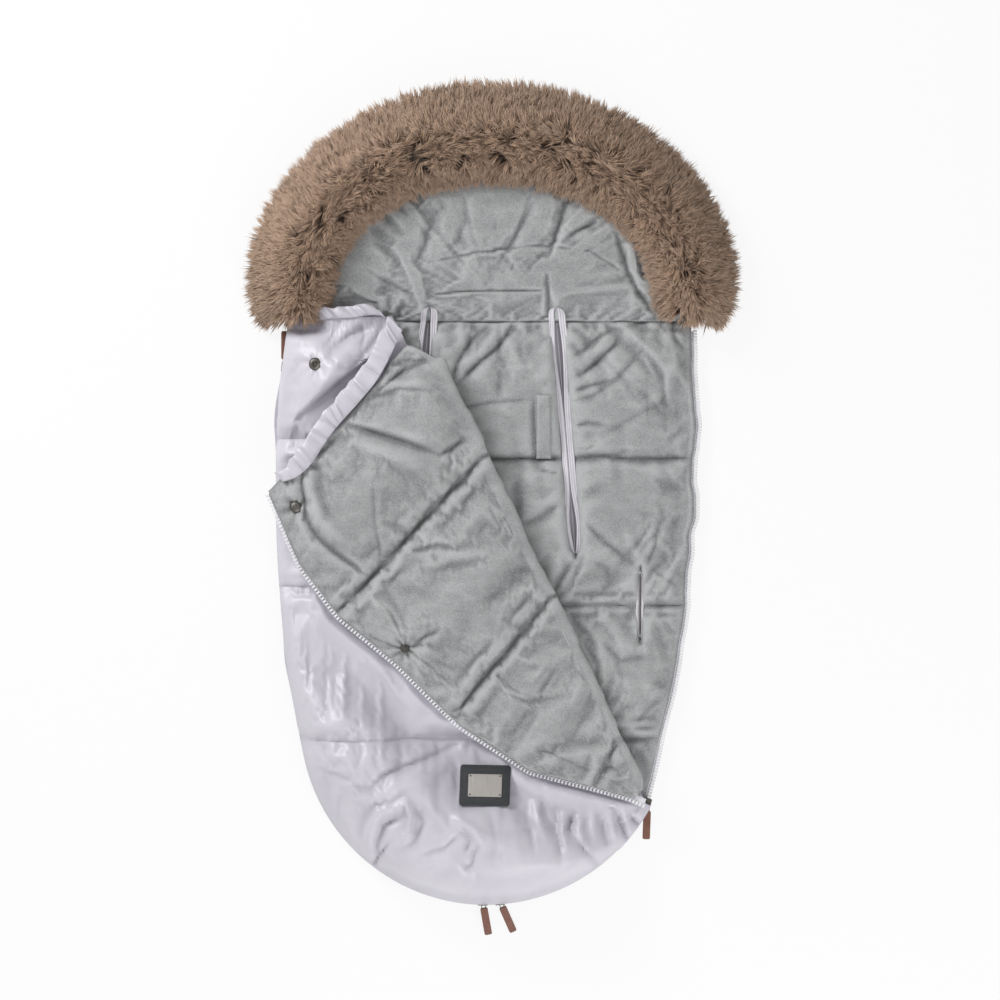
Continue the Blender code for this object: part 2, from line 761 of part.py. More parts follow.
def build_flap():
    """The folded-back flap: outer cloth below, wadding, plush above."""
    cover = Surface("cover_shell", "back_lining", "cover_hem")
    rows = [step / FLAP_ROWS for step in range(FLAP_ROWS + 1)]
    last = len(FLAP_CROWN_SHARES) - 1
    wadding = {}
    floor = {}
    for v in rows:
        index = min(int(v * last), last - 1)
        crown = mix(FLAP_CROWN_SHARES[index], FLAP_CROWN_SHARES[index + 1], v * last - index)
        for u in FLAP_COLUMNS:
            x, y = flap_place(u, v)
            reach = FLAP_REACH * clamp(crease_distance(x, y) / FLAP_REACH_RUN)
            level = cover.cleared(x, y, reach) if reach > 0 else 0.0
            key = (round(x, 6), round(y, 6))
            floor[key] = max(level, crease_z(y)) + GAP
            wadding[key] = mix(EDGE_WADDING, FLAP_CROWN_WADDING, crown * swell(4 * u * (1 - u)))

    def low(x, y):
        return floor[(round(x, 6), round(y, 6))]

    def wadding_top(x, y):
        return low(x, y) + SHELL_CLOTH + GAP + wadding[(round(x, 6), round(y, 6))]

    sheet_solid("flap_shell", "shell", FLAP_COLUMNS, rows, flap_place, low,
                lambda x, y: low(x, y) + SHELL_CLOTH)
    sheet_solid("flap_padding", "wadding", FLAP_COLUMNS, rows, flap_place,
                lambda x, y: low(x, y) + SHELL_CLOTH + GAP, wadding_top)
    sheet_solid("flap_lining", "plush", FLAP_COLUMNS, rows, flap_place,
                lambda x, y: wadding_top(x, y) + GAP, lambda x, y: wadding_top(x, y) + GAP + PLUSH)


def zip_point(v, inside):
    """A point at a distance inside the flap's zip line, as far along it as the flap's row v."""
    spot = v * (len(FLAP_ZIP_ENDS) - 1)
    index = min(int(spot), len(FLAP_ZIP_ENDS) - 2)
    low, high = flap_row(index), flap_row(index + 1)
    crease = low[0].lerp(high[0], spot - index)
    edge = low[1].lerp(high[1], spot - index)
    return edge + (edge - crease).normalized() * (FLAP_ZIP_MARGIN - inside)


def flap_band(name, finish, insides, rise, thick):
    """A band of the flap's zip, between two distances inside its zip line."""
    under = Surface("cover_shell", "back_lining", "flap_shell")
    rows = [step / FLAP_ROWS for step in range(1, FLAP_ROWS + 1)]

    def place(u, v):
        spot = zip_point(v, mix(*insides, u))
        return spot.x, spot.y

    def low(x, y):
        return max(under.cleared(x, y, FLAP_ZIP_MARGIN), crease_z(y)) + rise

    sheet_solid(name, finish, (0.0, 1.0), rows, place, low, lambda x, y: low(x, y) + thick)


def build_flap_zip():
    """The tape and the teeth along the flap's free edge."""
    flap_band("flap_zip_teeth", "teeth", (TEETH_OUT + TEETH_WIDE, TEETH_OUT), GAP, TEETH_THICK)
    flap_band("flap_zip_tape", "tape", (FLAP_ZIP_MARGIN - 2 * GAP, TEETH_OUT + TEETH_WIDE + GAP),
              GAP + (TEETH_THICK - TAPE_THICK) / 2, TAPE_THICK)


def gathered(share):
    """The rise and fall of a gathered hem along its length."""
    return HEM_GATHER * 0.5 * (1 + math.cos(2 * math.pi * HEM_GATHERS * share))


def hem_solid(name, elastic, place, low, steps):
    """A gathered hem with its elastic in a groove on its underside."""
    first, last = HEM_GROOVE_SHARES
    lip = 0.02
    columns = (0.0, first - lip, first, last, last + lip, 1.0)
    rows = [step / steps for step in range(steps + 1)]
    spots = {}
    for v in rows:
        for u in columns:
            x, y = place(u, v)
            spots[(round(x, 6), round(y, 6))] = (u, v)

    def share_at(x, y):
        return spots[(round(x, 6), round(y, 6))]

    def under(x, y):
        u, v = share_at(x, y)
        return low(x, y) + (HEM_GROOVE if first <= u <= last else 0.0)

    def over(x, y):
        u, v = share_at(x, y)
        return low(x, y) + HEM_THICK - gathered(v)

    sheet_solid(name, "shell", columns, rows, place, under, over)
    band = [mix(*ELASTIC_SHARES, share) for share in (0.0, 1.0)]
    sheet_solid(elastic, "elastic", band, rows, place, low, lambda x, y: low(x, y) + ELASTIC_THICK)


def build_cover_hem():
    """The gathered hem along the top edge of the cover that stays in place."""
    def place(u, v):
        return mix(*COVER_HEM_X, v), mix(COVER_TOP_Y + HINGE_PLAY, COVER_HEM_TOP_Y, u)

    hem_solid("cover_hem", "cover_elastic", place, lambda x, y: cover_top(x, y) - HEM_THICK, HEM_GATHERS)


def build_flap_hem():
    """The gathered hem along the flap's top edge."""
    cover = Surface("cover_shell", "back_lining", "cover_hem")
    crease = Vector(flap_place(0.0, 1.0))
    end = Vector(flap_place(1.0, 1.0))
    along = (end - crease).normalized()
    outward = Vector((along.y, -along.x))

    def place(u, v):
        spot = crease.lerp(end, v) + outward * mix(HINGE_PLAY, HEM_WIDE, u)
        return spot.x, spot.y

    hem_solid("flap_hem", "flap_elastic", place,
              lambda x, y: max(cover.cleared(x, y, FLAP_REACH), crease_z(y)) + GAP, 2 * HEM_GATHERS)


def build_zips():
    """The tapes and teeth along the outline: left side, foot end and right side."""
    left_top = Vector((left_x(CHAIN_TOP_Y, 0), CHAIN_TOP_Y))
    right_top = Vector((right_x(CHAIN_TOP_Y, 0), CHAIN_TOP_Y))
    chains = {
        "left": ((LEFT_CENTRE, LEFT_RADIUS), (angle_on(LEFT_CENTRE, left_top),
                                              angle_on(LEFT_CENTRE, LEFT_LOW) - CHAIN_BREAK_DEG / 2)),
        "foot": ((FOOT_CENTRE, FOOT_RADIUS), (LEFT_JOIN_DEG + CHAIN_BREAK_DEG, RIGHT_JOIN_DEG - CHAIN_BREAK_DEG)),
        "side": ((RIGHT_CENTRE, RIGHT_RADIUS), (angle_on(RIGHT_CENTRE, RIGHT_LOW) - 360 + CHAIN_BREAK_DEG / 2,
                                                angle_on(RIGHT_CENTRE, right_top))),
    }
    for name, (circle, span) in chains.items():
        arc_band(f"{name}_zip_teeth", "teeth", circle, span, (TEETH_OUT, TEETH_OUT + TEETH_WIDE),
                 TEETH_Z, TEETH_Z + TEETH_THICK)
        arc_band(f"{name}_zip_tape", "tape", circle, span, (TEETH_OUT + TEETH_WIDE + GAP, TAPE_IN),
                 TAPE_Z, TAPE_Z + TAPE_THICK)


def moved(mesh, matrix):
    """The same mesh, carried by a placement."""
    mesh.transform(matrix)
    return mesh


def build_slider(name, centre, radius, degrees, heading, half, dip):
    """A slider round the teeth, its bridge, and the link and leather pull that hang from the bridge."""
    radial = on_circle(Vector((0.0, 0.0)), 1.0, degrees)
    seat = on_circle(centre, radius, degrees)
    low = TEETH_Z - SLIDER_PLAY - SLIDER_PLATE
    slot_low = TEETH_Z - SLIDER_PLAY
    slot_high = TEETH_Z + TEETH_THICK + SLIDER_PLAY
    high = slot_high + SLIDER_PLATE
    wall = SLIDER_OUTER
    channel = -(TEETH_OUT - SLIDER_PLAY)
    inner = -SLIDER_INNER
    profile = [(wall, low), (wall, high), (inner, high), (inner, slot_high), (channel, slot_high),
               (channel, slot_low), (inner, slot_low), (inner, low)]
    across = Vector((radial.x, radial.y, 0.0))
    along = Vector((-radial.y, radial.x, 0.0))
    place = Matrix((across, Vector((0.0, 0.0, 1.0)), -along)).transposed().to_4x4()
    place.translation = (seat.x, seat.y, 0.0)
    sleeve = moved(flat_mesh(f"{name}_slider", [profile], -SLIDER_LONG / 2, SLIDER_LONG / 2), place)
    slider = add_object(f"{name}_slider", sleeve, "metal")
    middle = seat + radial * (SLIDER_OUTER - SLIDER_INNER) / 2
    forward = on_circle(Vector((0.0, 0.0)), 1.0, heading)
    ahead = Vector((forward.x, forward.y, 0.0))
    sideways = Vector((-forward.y, forward.x, 0.0))
    top = BRIDGE_RISE
    bar = BRIDGE_BAR
    sill = -SLIDER_PLATE / 2
    arch = [(-half, sill), (-half + bar, sill), (-half + bar, top - bar), (half - bar, top - bar),
            (half - bar, sill), (half, sill), (half, top), (-half, top)]
    stand = Matrix((ahead, Vector((0.0, 0.0, 1.0)), -sideways)).transposed().to_4x4()
    stand.translation = (middle.x, middle.y, high)
    bridge = moved(flat_mesh(f"{name}_bridge", [arch], -BRIDGE_WIDE / 2, BRIDGE_WIDE / 2), stand)
    cut(slider, bridge, operation="UNION")
    pivot = half - bar - PIVOT_PLAY - LINK_BAR * math.sqrt(2) / 2
    hinge = Vector((middle.x, middle.y, high + PIVOT_RISE)) + ahead * pivot
    hang = Matrix((ahead, sideways, Vector((0.0, 0.0, 1.0)))).transposed().to_4x4()
    hang = Matrix.Translation(hinge) @ hang @ Matrix.Rotation(math.radians(dip), 4, "Y")
    outer = rounded_box(LINK_LONG, LINK_WIDE, LINK_BAR)
    hole = rounded_box(LINK_LONG - 2 * LINK_BAR, LINK_WIDE - 2 * LINK_BAR, LINK_BAR / 2, 2)
    shift = Vector(((LINK_LONG - LINK_BAR) / 2, 0.0))
    ring = [[point + shift for point in loop] for loop in (outer, hole)]
    link = moved(flat_mesh(f"{name}_pull_link", ring, -LINK_BAR / 2, LINK_BAR / 2), hang)
    add_object(f"{name}_pull_link", link, "metal")
    start = LINK_LONG - LINK_BAR / 2 - PULL_LAP
    reach = Vector((start + PULL_LONG / 2, 0.0))
    tab_loop = [point + reach for point in rounded_box(PULL_LONG, PULL_WIDE, PULL_CORNER)]
    tab = add_object(f"{name}_pull_tab", moved(flat_mesh(f"{name}_pull_tab", [tab_loop], -PULL_THICK / 2,
                                                         PULL_THICK / 2), hang), "leather")
    wide = rounded_box(LINK_LONG + 2 * PIVOT_PLAY, LINK_WIDE + 2 * PIVOT_PLAY, LINK_BAR)
    tight = rounded_box(LINK_LONG - 2 * LINK_BAR - 2 * PIVOT_PLAY, LINK_WIDE - 2 * LINK_BAR - 2 * PIVOT_PLAY,
                        LINK_BAR / 2, 2)
    grown = [[point + shift for point in loop] for loop in (wide, tight)]
    thick = LINK_BAR / 2 + PIVOT_PLAY
    cut(tab, moved(flat_mesh(f"{name}_pull_tab_cut", grown, -thick, thick), hang))
    print("pull", name, [round(value, 5) for value in hinge], [round(value, 4) for value in sideways])


def build_sliders():
    """The four sliders, each with its pull."""
    left_spot = Vector((left_x(LEFT_SLIDER_Y, 0), LEFT_SLIDER_Y))
    build_slider("left", LEFT_CENTRE, LEFT_RADIUS, angle_on(LEFT_CENTRE, left_spot), LEFT_PULL_HEADING,
                 BRIDGE_ALONG, LEFT_PULL_DIP_DEG)
    side_y = RIGHT_LOW.y + SLIDER_LONG / 2 + SLIDER_PLAY
    side_spot = Vector((right_x(side_y, 0), side_y))
    build_slider("side", RIGHT_CENTRE, RIGHT_RADIUS, angle_on(RIGHT_CENTRE, side_spot), SIDE_PULL_HEADING,
                 BRIDGE_ALONG, SIDE_PULL_DIP_DEG)
    for side, degrees, heading in zip(("foot_left", "foot_right"), FOOT_SLIDER_DEGS, FOOT_PULL_HEADINGS):
        build_slider(side, FOOT_CENTRE, FOOT_RADIUS, degrees, heading, BRIDGE_ACROSS, PULL_DIP_DEG)


def build_badge():
    """The badge at the foot end: a leatherette patch, a plain metal plate and four rivets."""
    cover = Surface("cover_shell")
    wide, high, thick = BADGE_SIZE
    place = cover.seat(BADGE_X, BADGE_Y, high / 2)
    flat = place.to_3x3() @ Vector((0.0, 0.0, 1.0))
    corner = max(0.0, *((Vector((x, y, cover.height(x, y))) - place.translation).dot(flat)
                        for x in (BADGE_X - wide / 2, BADGE_X, BADGE_X + wide / 2)
                        for y in (BADGE_Y - high / 2, BADGE_Y, BADGE_Y + high / 2)))
    place = Matrix.Translation(flat * (corner + GAP)) @ place
    patch = flat_mesh("badge_patch", [rounded_box(wide, high, BADGE_CORNER)], 0.0, thick)
    add_object("badge_patch", moved(patch, place), "leatherette")
    plate_wide, plate_high, plate_thick = BADGE_PLATE
    base = thick + GAP
    plate = flat_mesh("badge_plate", [rounded_box(plate_wide, plate_high, BADGE_CORNER / 2)], base,
                      base + plate_thick)
    add_object("badge_plate", moved(plate, place), "plate")
    spots = [(x, y) for x in (-1, 1) for y in (-1, 1)]
    for index, (x, y) in enumerate(spots, 1):
        centre = Vector((x * (plate_wide / 2 - RIVET_INSET), y * (plate_high / 2 - RIVET_INSET)))
        stud(f"badge_rivet_{index}", "metal", RIVET_RADIUS, RIVET_RISE,
             place @ Matrix.Translation((centre.x, centre.y, base + plate_thick + GAP)), STUD_SIDES // 2)


def stud(name, finish, radius, rise, place, sides):
    """A low turned dome on a flat base."""
    profile = ((0.0, rise), (radius * STUD_SHOULDER_SHARE, rise * (1 + STUD_SHOULDER_SHARE) / 2),
               (radius, rise * STUD_RIM_SHARE), (radius, 0.0), (0.0, 0.0))
    body = bmesh.new()
    points = [body.verts.new((x, 0.0, z)) for x, z in profile]
    for first, second in zip(points, points[1:]):
        body.edges.new((first, second))
    mesh = bpy.data.meshes.new(name)
    body.to_mesh(mesh)
    body.free()
    made = add_object(name, mesh, finish)
    turn = made.modifiers.new("turn", "SCREW")
    turn.steps = sides
    turn.render_steps = sides
    turn.use_merge_vertices = True
    turn.merge_threshold = MERGE
    made.matrix_world = place
    return made


def build_studs():
    """The press studs: a socket on the cover's cloth, a cap and a post on the flap's plush."""
    for name, spot, surface in (("snap_socket", STUD_SOCKET, Surface("cover_shell")),
                                ("snap_cap", STUD_CAP, Surface("flap_lining")),
                                ("snap_post", STUD_POST, Surface("flap_lining"))):
        stud(name, "metal", STUD_RADIUS, STUD_RISE, surface.seat(*spot, STUD_RADIUS), STUD_SIDES)


def hood_point(u, q):
    """A point of the hood at a share across it and a height of its unit circle."""
    top = math.sin(math.radians(CORNER_DEG))
    half = math.sqrt(1 - min(q, top) ** 2)
    p = mix(-half, half, u)
    lift = clamp(q / top) * max(0.0, math.sqrt(max(0.0, 1 - p * p)) - top)
    return HOOD_X + HOOD_A * p, HOOD_Y + HOOD_B * (q + lift)


def hood_wadding(x, y):
    """Thickness of the hood's wadding."""
    p = (x - HOOD_X) / HOOD_A
    q = (y - HOOD_Y) / HOOD_B
    inside = (1 - math.hypot(p, q)) * HOOD_B
    seam = swell((y - HOOD_SEAM_Y) / EDGE_ROLL)
    full = mix(BACK_SEAM_WADDING, HOOD_CROWN_WADDING, seam)
    return mix(EDGE_WADDING, full, swell(inside / EDGE_ROLL))


def build_hood():
    """The hood: outer cloth, wadding and plush, laid flat."""
    base = (HOOD_SEAM_Y + HINGE_PLAY - HOOD_Y) / HOOD_B
    top = math.sin(math.radians(CORNER_DEG))
    rows = [mix(base, top, share) for share in (0.0, 0.10, 0.25, 0.45, 0.65, 0.82, 0.94, 1.0)]
    columns = (0.0, 0.03, 0.10, 0.22, 0.36, 0.5, 0.64, 0.78, 0.90, 0.97, 1.0)

    def wadding_top(x, y):
        return SHELL_CLOTH + GAP + hood_wadding(x, y)

    sheet_solid("hood_shell", "shell", columns, rows, hood_point, lambda x, y: 0.0,
                lambda x, y: SHELL_CLOTH)
    sheet_solid("hood_padding", "wadding", columns, rows, hood_point, lambda x, y: SHELL_CLOTH + GAP,
                wadding_top)
    sheet_solid("hood_lining", "plush", columns, rows, hood_point, lambda x, y: wadding_top(x, y) + GAP,
                lambda x, y: wadding_top(x, y) + GAP + PLUSH)


def fur_frame(share):
    """Centreline point, outward direction, and half width of the fur at a share along it."""
    angle = math.radians(mix(FUR_START_DEG, 180 - FUR_START_DEG, share))
    point = Vector((FUR_X + FUR_A * math.cos(angle), FUR_Y + FUR_B * math.sin(angle)))
    outward = Vector((math.cos(angle) / FUR_A, math.sin(angle) / FUR_B)).normalized()
    half = mix(FUR_HALF_SIDE, FUR_HALF_TOP, max(0.0, math.sin(angle)) ** 2)
    return point, outward, half


def fur_end(share):
    """How full the fur is near its ends."""
    length = math.pi * (FUR_A + FUR_B) / 2
    return mix(FUR_END_SHARE, 1.0, swell(min(share, 1 - share) * length / FUR_END_RUN))


def rim_offset(point, outward):
    """How far outside the fur's centreline the hood's rim lies."""
    low, high = -FUR_HALF_TOP, FUR_HALF_TOP
    for _ in range(30):
        middle = (low + high) / 2
        spot = point + outward * middle
        inside = ((spot.x - HOOD_X) / HOOD_A) ** 2 + ((spot.y - HOOD_Y) / HOOD_B) ** 2 < 1
        low, high = (middle, high) if inside else (low, middle)
    return high


def build_fur():
    """The fur trim that sits on the hood's rim, and the woven band that it is sewn to."""
    hood = Surface("hood_lining")
    rows = [step / FUR_STEPS for step in range(FUR_STEPS + 1)]
    crown = SHELL_CLOTH + HOOD_CROWN_WADDING + PLUSH + 3 * GAP
    seat = crown + FUR_BAND_THICK + GAP
    columns = (-1.0, -0.82, -0.5, 0.0, 0.02, 0.45, 0.80, 1.0)
    spots = {}

    def place(u, v):
        point, outward, half = fur_frame(v)
        half *= fur_end(v)
        rim = rim_offset(point, outward) + SLIDER_PLAY
        if u < 0:
            away = mix(rim, -half, -u)
        else:
            away = mix(rim, half, u)
        spot = point + outward * away
        spots[(round(spot.x, 6), round(spot.y, 6))] = (u, v, away / half)
        return spot.x, spot.y

    def low(x, y):
        u = spots[(round(x, 6), round(y, 6))][0]
        return seat if u <= 0 else FUR_FLOOR

    def high(x, y):
        u, v, side = spots[(round(x, 6), round(y, 6))]
        base = seat if u <= 0 else mix(seat, FUR_FLOOR, u)
        dome = (FUR_DOME * fur_end(v)) * math.sqrt(max(0.0, 1 - side * side))
        return base + FUR_EDGE + dome

    sheet_solid("fur_trim", "fur", columns, rows, place, low, high)

    def band_place(u, v):
        point, outward, half = fur_frame(mix(0.02, 0.98, v))
        spot = point + outward * (rim_offset(point, outward) - EDGE_ROLL / 2 + mix(-1, 1, u) * FUR_BAND_HALF)
        return spot.x, spot.y

    sheet_solid("fur_band", "tape", (0.0, 1.0), rows, band_place, lambda x, y: crown,
                lambda x, y: crown + FUR_BAND_THICK)


def build():
    """Clears the scene and builds every piece."""
    for old in list(bpy.data.objects):
        bpy.data.objects.remove(old)
    for name in (COLLECTION, CUTTERS):
        made = bpy.data.collections.new(name)
        bpy.context.scene.collection.children.link(made)
    build_back()
    build_bindings()
    build_patch()
    build_cover()
    build_cover_hem()
    build_flap()
    build_flap_zip()
    build_flap_hem()
    build_zips()
    build_sliders()
    build_badge()
    build_studs()
    build_hood()
    build_fur()


build()
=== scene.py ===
"""Looks for a stroller footmuff laid open on its back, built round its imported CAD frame.

The padded back, the front cover with its folded-back flap, the hood with its fur trim, the zips and the
trimmings are classes. Lengths are in metres, +Z up, +Y towards the hood.
"""

import logging
import math
from dataclasses import dataclass
from enum import Enum
from typing import Sequence

import bpy
import numpy as np
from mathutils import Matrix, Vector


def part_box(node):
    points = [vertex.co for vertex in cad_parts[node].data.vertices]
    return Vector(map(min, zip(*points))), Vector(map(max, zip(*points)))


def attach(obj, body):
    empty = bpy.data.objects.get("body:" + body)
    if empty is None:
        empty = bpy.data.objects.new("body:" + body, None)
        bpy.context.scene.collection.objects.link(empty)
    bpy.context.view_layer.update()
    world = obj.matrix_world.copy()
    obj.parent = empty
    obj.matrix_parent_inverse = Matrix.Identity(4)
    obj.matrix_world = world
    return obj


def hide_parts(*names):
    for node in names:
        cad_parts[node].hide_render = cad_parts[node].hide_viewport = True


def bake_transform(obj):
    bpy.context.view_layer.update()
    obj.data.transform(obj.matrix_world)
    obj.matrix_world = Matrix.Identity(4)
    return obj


LOG = logging.getLogger("footmuff")
Array = np.ndarray
Colour = tuple[float, float, float]


class Body(str, Enum):
    """The CAD bodies that pieces ride on."""

    MAIN = "main"
    FLAP = "cover_flap"
    HOOD = "hood"


# Shapes


def mix(a: Array, b: Array, share: Array) -> Array:
    """The value at a share of the way from a to b."""
    return a + (b - a) * share


def smooth(share: Array) -> Array:
    """A share eased at both ends: 3s2 - 2s3, held between 0 and 1."""
    held = np.clip(share, 0.0, 1.0)
    return held * held * (3 - 2 * held)


def swell(share: Array) -> Array:
    """A share that rises like the side of a pillow, a quarter circle."""
    return np.sqrt(1 - (1 - np.clip(share, 0.0, 1.0)) ** 2)


def drift(x: Array, y: Array, size: float, seed: int) -> Array:
    """Smooth value noise from -1 to 1: a seeded lattice, eased between its points.

    Args:
        x: Where to read it.
        y: Where to read it.
        size: Spacing of the lattice.
        seed: Which lattice.

    Returns:
        The noise at each point.
    """
    lattice = np.random.default_rng(seed).uniform(-1, 1, (97, 97))
    gx, gy = x / size + 5000.37, y / size + 5000.71
    ix, iy = np.floor(gx).astype(int), np.floor(gy).astype(int)
    fx, fy = smooth(gx - ix), smooth(gy - iy)
    ix, iy = ix % 97, iy % 97
    jx, jy = (ix + 1) % 97, (iy + 1) % 97
    low = mix(lattice[ix, iy], lattice[jx, iy], fx)
    high = mix(lattice[ix, jy], lattice[jx, jy], fx)
    return mix(low, high, fy)


def ridged(x: Array, y: Array, size: float, seed: int) -> Array:
    """Sharp-crested noise from 0 to 1, for creases in cloth: one less the size of the drift."""
    return (1 - np.abs(drift(x, y, size, seed))) ** 2


def blurred(field: Array, rounds: int) -> Array:
    """A grid smoothed by averaging each value with its neighbours, a number of times."""
    out = field.copy()
    for _ in range(rounds):
        for axis in (0, 1):
            margins = [(1, 1) if k == axis else (0, 0) for k in range(out.ndim)]
            padded = np.pad(out, margins, mode="edge")
            before = np.take(padded, range(0, out.shape[axis]), axis=axis)
            after = np.take(padded, range(2, out.shape[axis] + 2), axis=axis)
            out = 0.5 * out + 0.25 * (before + after)
    return out


def rescaled(field: Array, rows: int, cols: int) -> Array:
    """A grid of single values brought to another number of rows and columns."""
    return resampled(field[..., None], rows, cols)[..., 0]


def resampled(grid: Array, rows: int, cols: int) -> Array:
    """A grid of points brought to another number of rows and columns along Catmull-Rom curves.

    Args:
        grid: Points as rows, columns, coordinates.
        rows: Rows wanted.
        cols: Columns wanted.

    Returns:
        The finer or coarser grid.
    """
    out = grid
    for axis, count in ((0, rows), (1, cols)):
        size = out.shape[axis]
        spot = np.linspace(0, size - 1, count)
        base = np.minimum(spot.astype(int), size - 2)
        t = (spot - base).reshape([-1 if k == axis else 1 for k in range(out.ndim)])
        a, b, c, d = (np.take(out, np.clip(base + k, 0, size - 1), axis=axis) for k in (-1, 0, 1, 2))
        square, cube = 2 * a - 5 * b + 4 * c - d, 3 * b - a - 3 * c + d
        out = 0.5 * (2 * b + (c - a) * t + square * t**2 + cube * t**3)
    return out


def unit(vectors: Array) -> Array:
    """Vectors brought to a length of one, where they have any."""
    return vectors / np.maximum(np.linalg.norm(vectors, axis=-1, keepdims=True), 1e-9)


def read_off(spots: Array, places: Array, values: Array) -> Array:
    """Each column of values read at spots between their places."""
    return np.stack([np.interp(spots, places, values[:, k]) for k in range(values.shape[1])], axis=-1)


def curve_through(points: Sequence[Sequence[float]], shares: Array) -> Array:
    """Points at shares of the count along a Catmull-Rom curve through the given points."""
    grid = np.array(points, float)[:, None, :]
    fine = resampled(grid.repeat(2, axis=1), 401, 2)[:, 0, :]
    spot = np.clip(np.asarray(shares), 0, 1) * 400
    return read_off(spot, np.arange(401), fine)


def even_steps(path: Array, pitch: float) -> Array:
    """A path walked again in even steps of its own length."""
    lengths = np.r_[0, np.cumsum(np.linalg.norm(np.diff(path, axis=0), axis=1))]
    count = max(2, int(round(lengths[-1] / pitch)))
    at = np.linspace(0, lengths[-1], count + 1)
    return read_off(at, lengths, path)


# The body's outline


@dataclass(frozen=True)
class Outline:
    """The footmuff's outline seen from above: a foot circle and two bowed sides, up to the hood's seam."""

    foot_x: float = -0.0075
    foot_y: float = -0.2398
    foot_r: float = 0.2139
    left_low: float = 191.5
    right_low: float = 330.8
    hood_y: float = 0.2156
    left_c: tuple[float, float] = (1.17972, 0.01709)
    left_r: float = 1.42864
    right_c: tuple[float, float] = (-1.37406, 0.09387)
    right_r: float = 1.61387
    sag_y: float = -0.300
    inset: float = 0.0

    def at(self, inset: float) -> "Outline":
        """The same outline, a distance further in."""
        return Outline(inset=inset)

    def foot_point(self, degrees: float) -> tuple[float, float]:
        """The place on the foot circle at an angle."""
        turn = math.radians(degrees)
        return self.foot_x + self.foot_r * math.cos(turn), self.foot_y + self.foot_r * math.sin(turn)

    def foot(self, y: Array, side: float) -> Array:
        """Where the foot circle lies at y."""
        reach = (self.foot_r - self.inset) ** 2 - (y - self.foot_y) ** 2
        return self.foot_x + side * np.sqrt(np.maximum(reach, 0))

    def left(self, y: Array) -> Array:
        """The left edge at y."""
        side = self.left_c[0] - np.sqrt((self.left_r - self.inset) ** 2 - (y - self.left_c[1]) ** 2)
        return np.where(y < self.foot_point(self.left_low)[1], self.foot(y, -1), side)

    def right(self, y: Array) -> Array:
        """The right edge at y."""
        side = self.right_c[0] + np.sqrt((self.right_r - self.inset) ** 2 - (y - self.right_c[1]) ** 2)
        return np.where(y < self.foot_point(self.right_low)[1], self.foot(y, 1), side)

    def sag(self, x: Array, y: Array) -> Array:
        """The y of each point once the lowest rows have sagged onto the foot circle."""
        arc = self.foot_y - np.sqrt(np.maximum((self.foot_r - self.inset) ** 2 - (x - self.foot_x) ** 2, 0))
        flat = self.corner()
        fade = np.clip((self.sag_y - y) / (self.sag_y - flat), 0, 1)
        return y - fade * np.maximum(0, flat - arc)

    def corner(self) -> float:
        """Height of the foot circle's 45 degree points, where the lowest row starts and ends."""
        return self.foot_y - (self.foot_r - self.inset) * math.sin(math.radians(45))

    def depth(self, x: Array, y: Array) -> Array:
        """How far a point lies inside the nearest edge of the outline."""
        foot = self.foot_r - np.hypot(x - self.foot_x, y - self.foot_y)
        left = self.left_r - np.hypot(x - self.left_c[0], y - self.left_c[1])
        right = self.right_r - np.hypot(x - self.right_c[0], y - self.right_c[1])
        left = np.where(y < self.foot_point(self.left_low)[1], foot, left)
        right = np.where(y < self.foot_point(self.right_low)[1], foot, right)
        return np.minimum(left, right)


OUTLINE = Outline()
BACK_SEAMS = (-0.2605, -0.1098, 0.0592)
BADGE_X, BADGE_Y = -0.0085, -0.3145
CREASE_LOW = np.array((0.1765, -0.3387, 0.0290))
CREASE_TOP = np.array((-0.0696, 0.1800, 0.0520))


# Meshes


def grid_quads(points: Array, keep: Array | None = None) -> Array:
    """The four-cornered faces of a grid of points, turned upwards.

    Args:
        points: The grid as rows, columns, coordinates.
        keep: Which cells are cloth, where some are holes.

    Returns:
        Corner numbers, a row for each face.
    """
    rows, cols = points.shape[:2]
    index = np.arange(rows * cols).reshape(rows, cols)
    quads = np.stack([index[:-1, :-1], index[:-1, 1:], index[1:, 1:], index[1:, :-1]], axis=-1)
    quads = quads.reshape(-1, 4) if keep is None else quads[keep]
    flat = points.reshape(-1, 3)
    a, b, c = (flat[quads[:, k]] for k in (0, 1, 2))
    down = np.cross(b - a, c - a)[:, 2].sum() < 0
    return quads[:, ::-1] if down else quads


def sheet_mesh(name: str, top: Array, bottom: Array, keep: Array | None = None) -> bpy.types.Object:
    """A closed sheet between two grids of points: top faces, bottom faces, and a wall round each edge.

    Args:
        name: The piece's name.
        top: Upper points as rows, columns, coordinates.
        bottom: Lower points, laid out the same way.
        keep: Which cells are cloth, where some are holes.

    Returns:
        The new object.
    """
    flat = top.reshape(-1, 3)
    count = len(flat)
    quads = grid_quads(top, keep)
    starts = quads.ravel()
    ends = np.roll(quads, -1, axis=1).ravel()
    forward = starts * count + ends
    rim = ~np.isin(forward, ends * count + starts)
    s, e = starts[rim], ends[rim]
    walls = np.stack([e, s, s + count, e + count], axis=-1)
    faces = np.concatenate([quads, quads[:, ::-1] + count, walls])
    points = np.concatenate([flat, bottom.reshape(-1, 3)])
    used, faces = np.unique(faces, return_inverse=True)
    made = mesh_object(name, points[used], faces.reshape(-1, 4))
    # Each top point's cavity, stored so the finishes paint shade into creases and a highlight onto ridges.
    depth = np.concatenate([hollows(top[..., 2]).ravel(), np.zeros(len(points) - count)])[used]
    layer = made.data.attributes.new("cavity_shading", "FLOAT", "POINT")
    layer.data.foreach_set("value", depth.astype(np.float32))
    return made


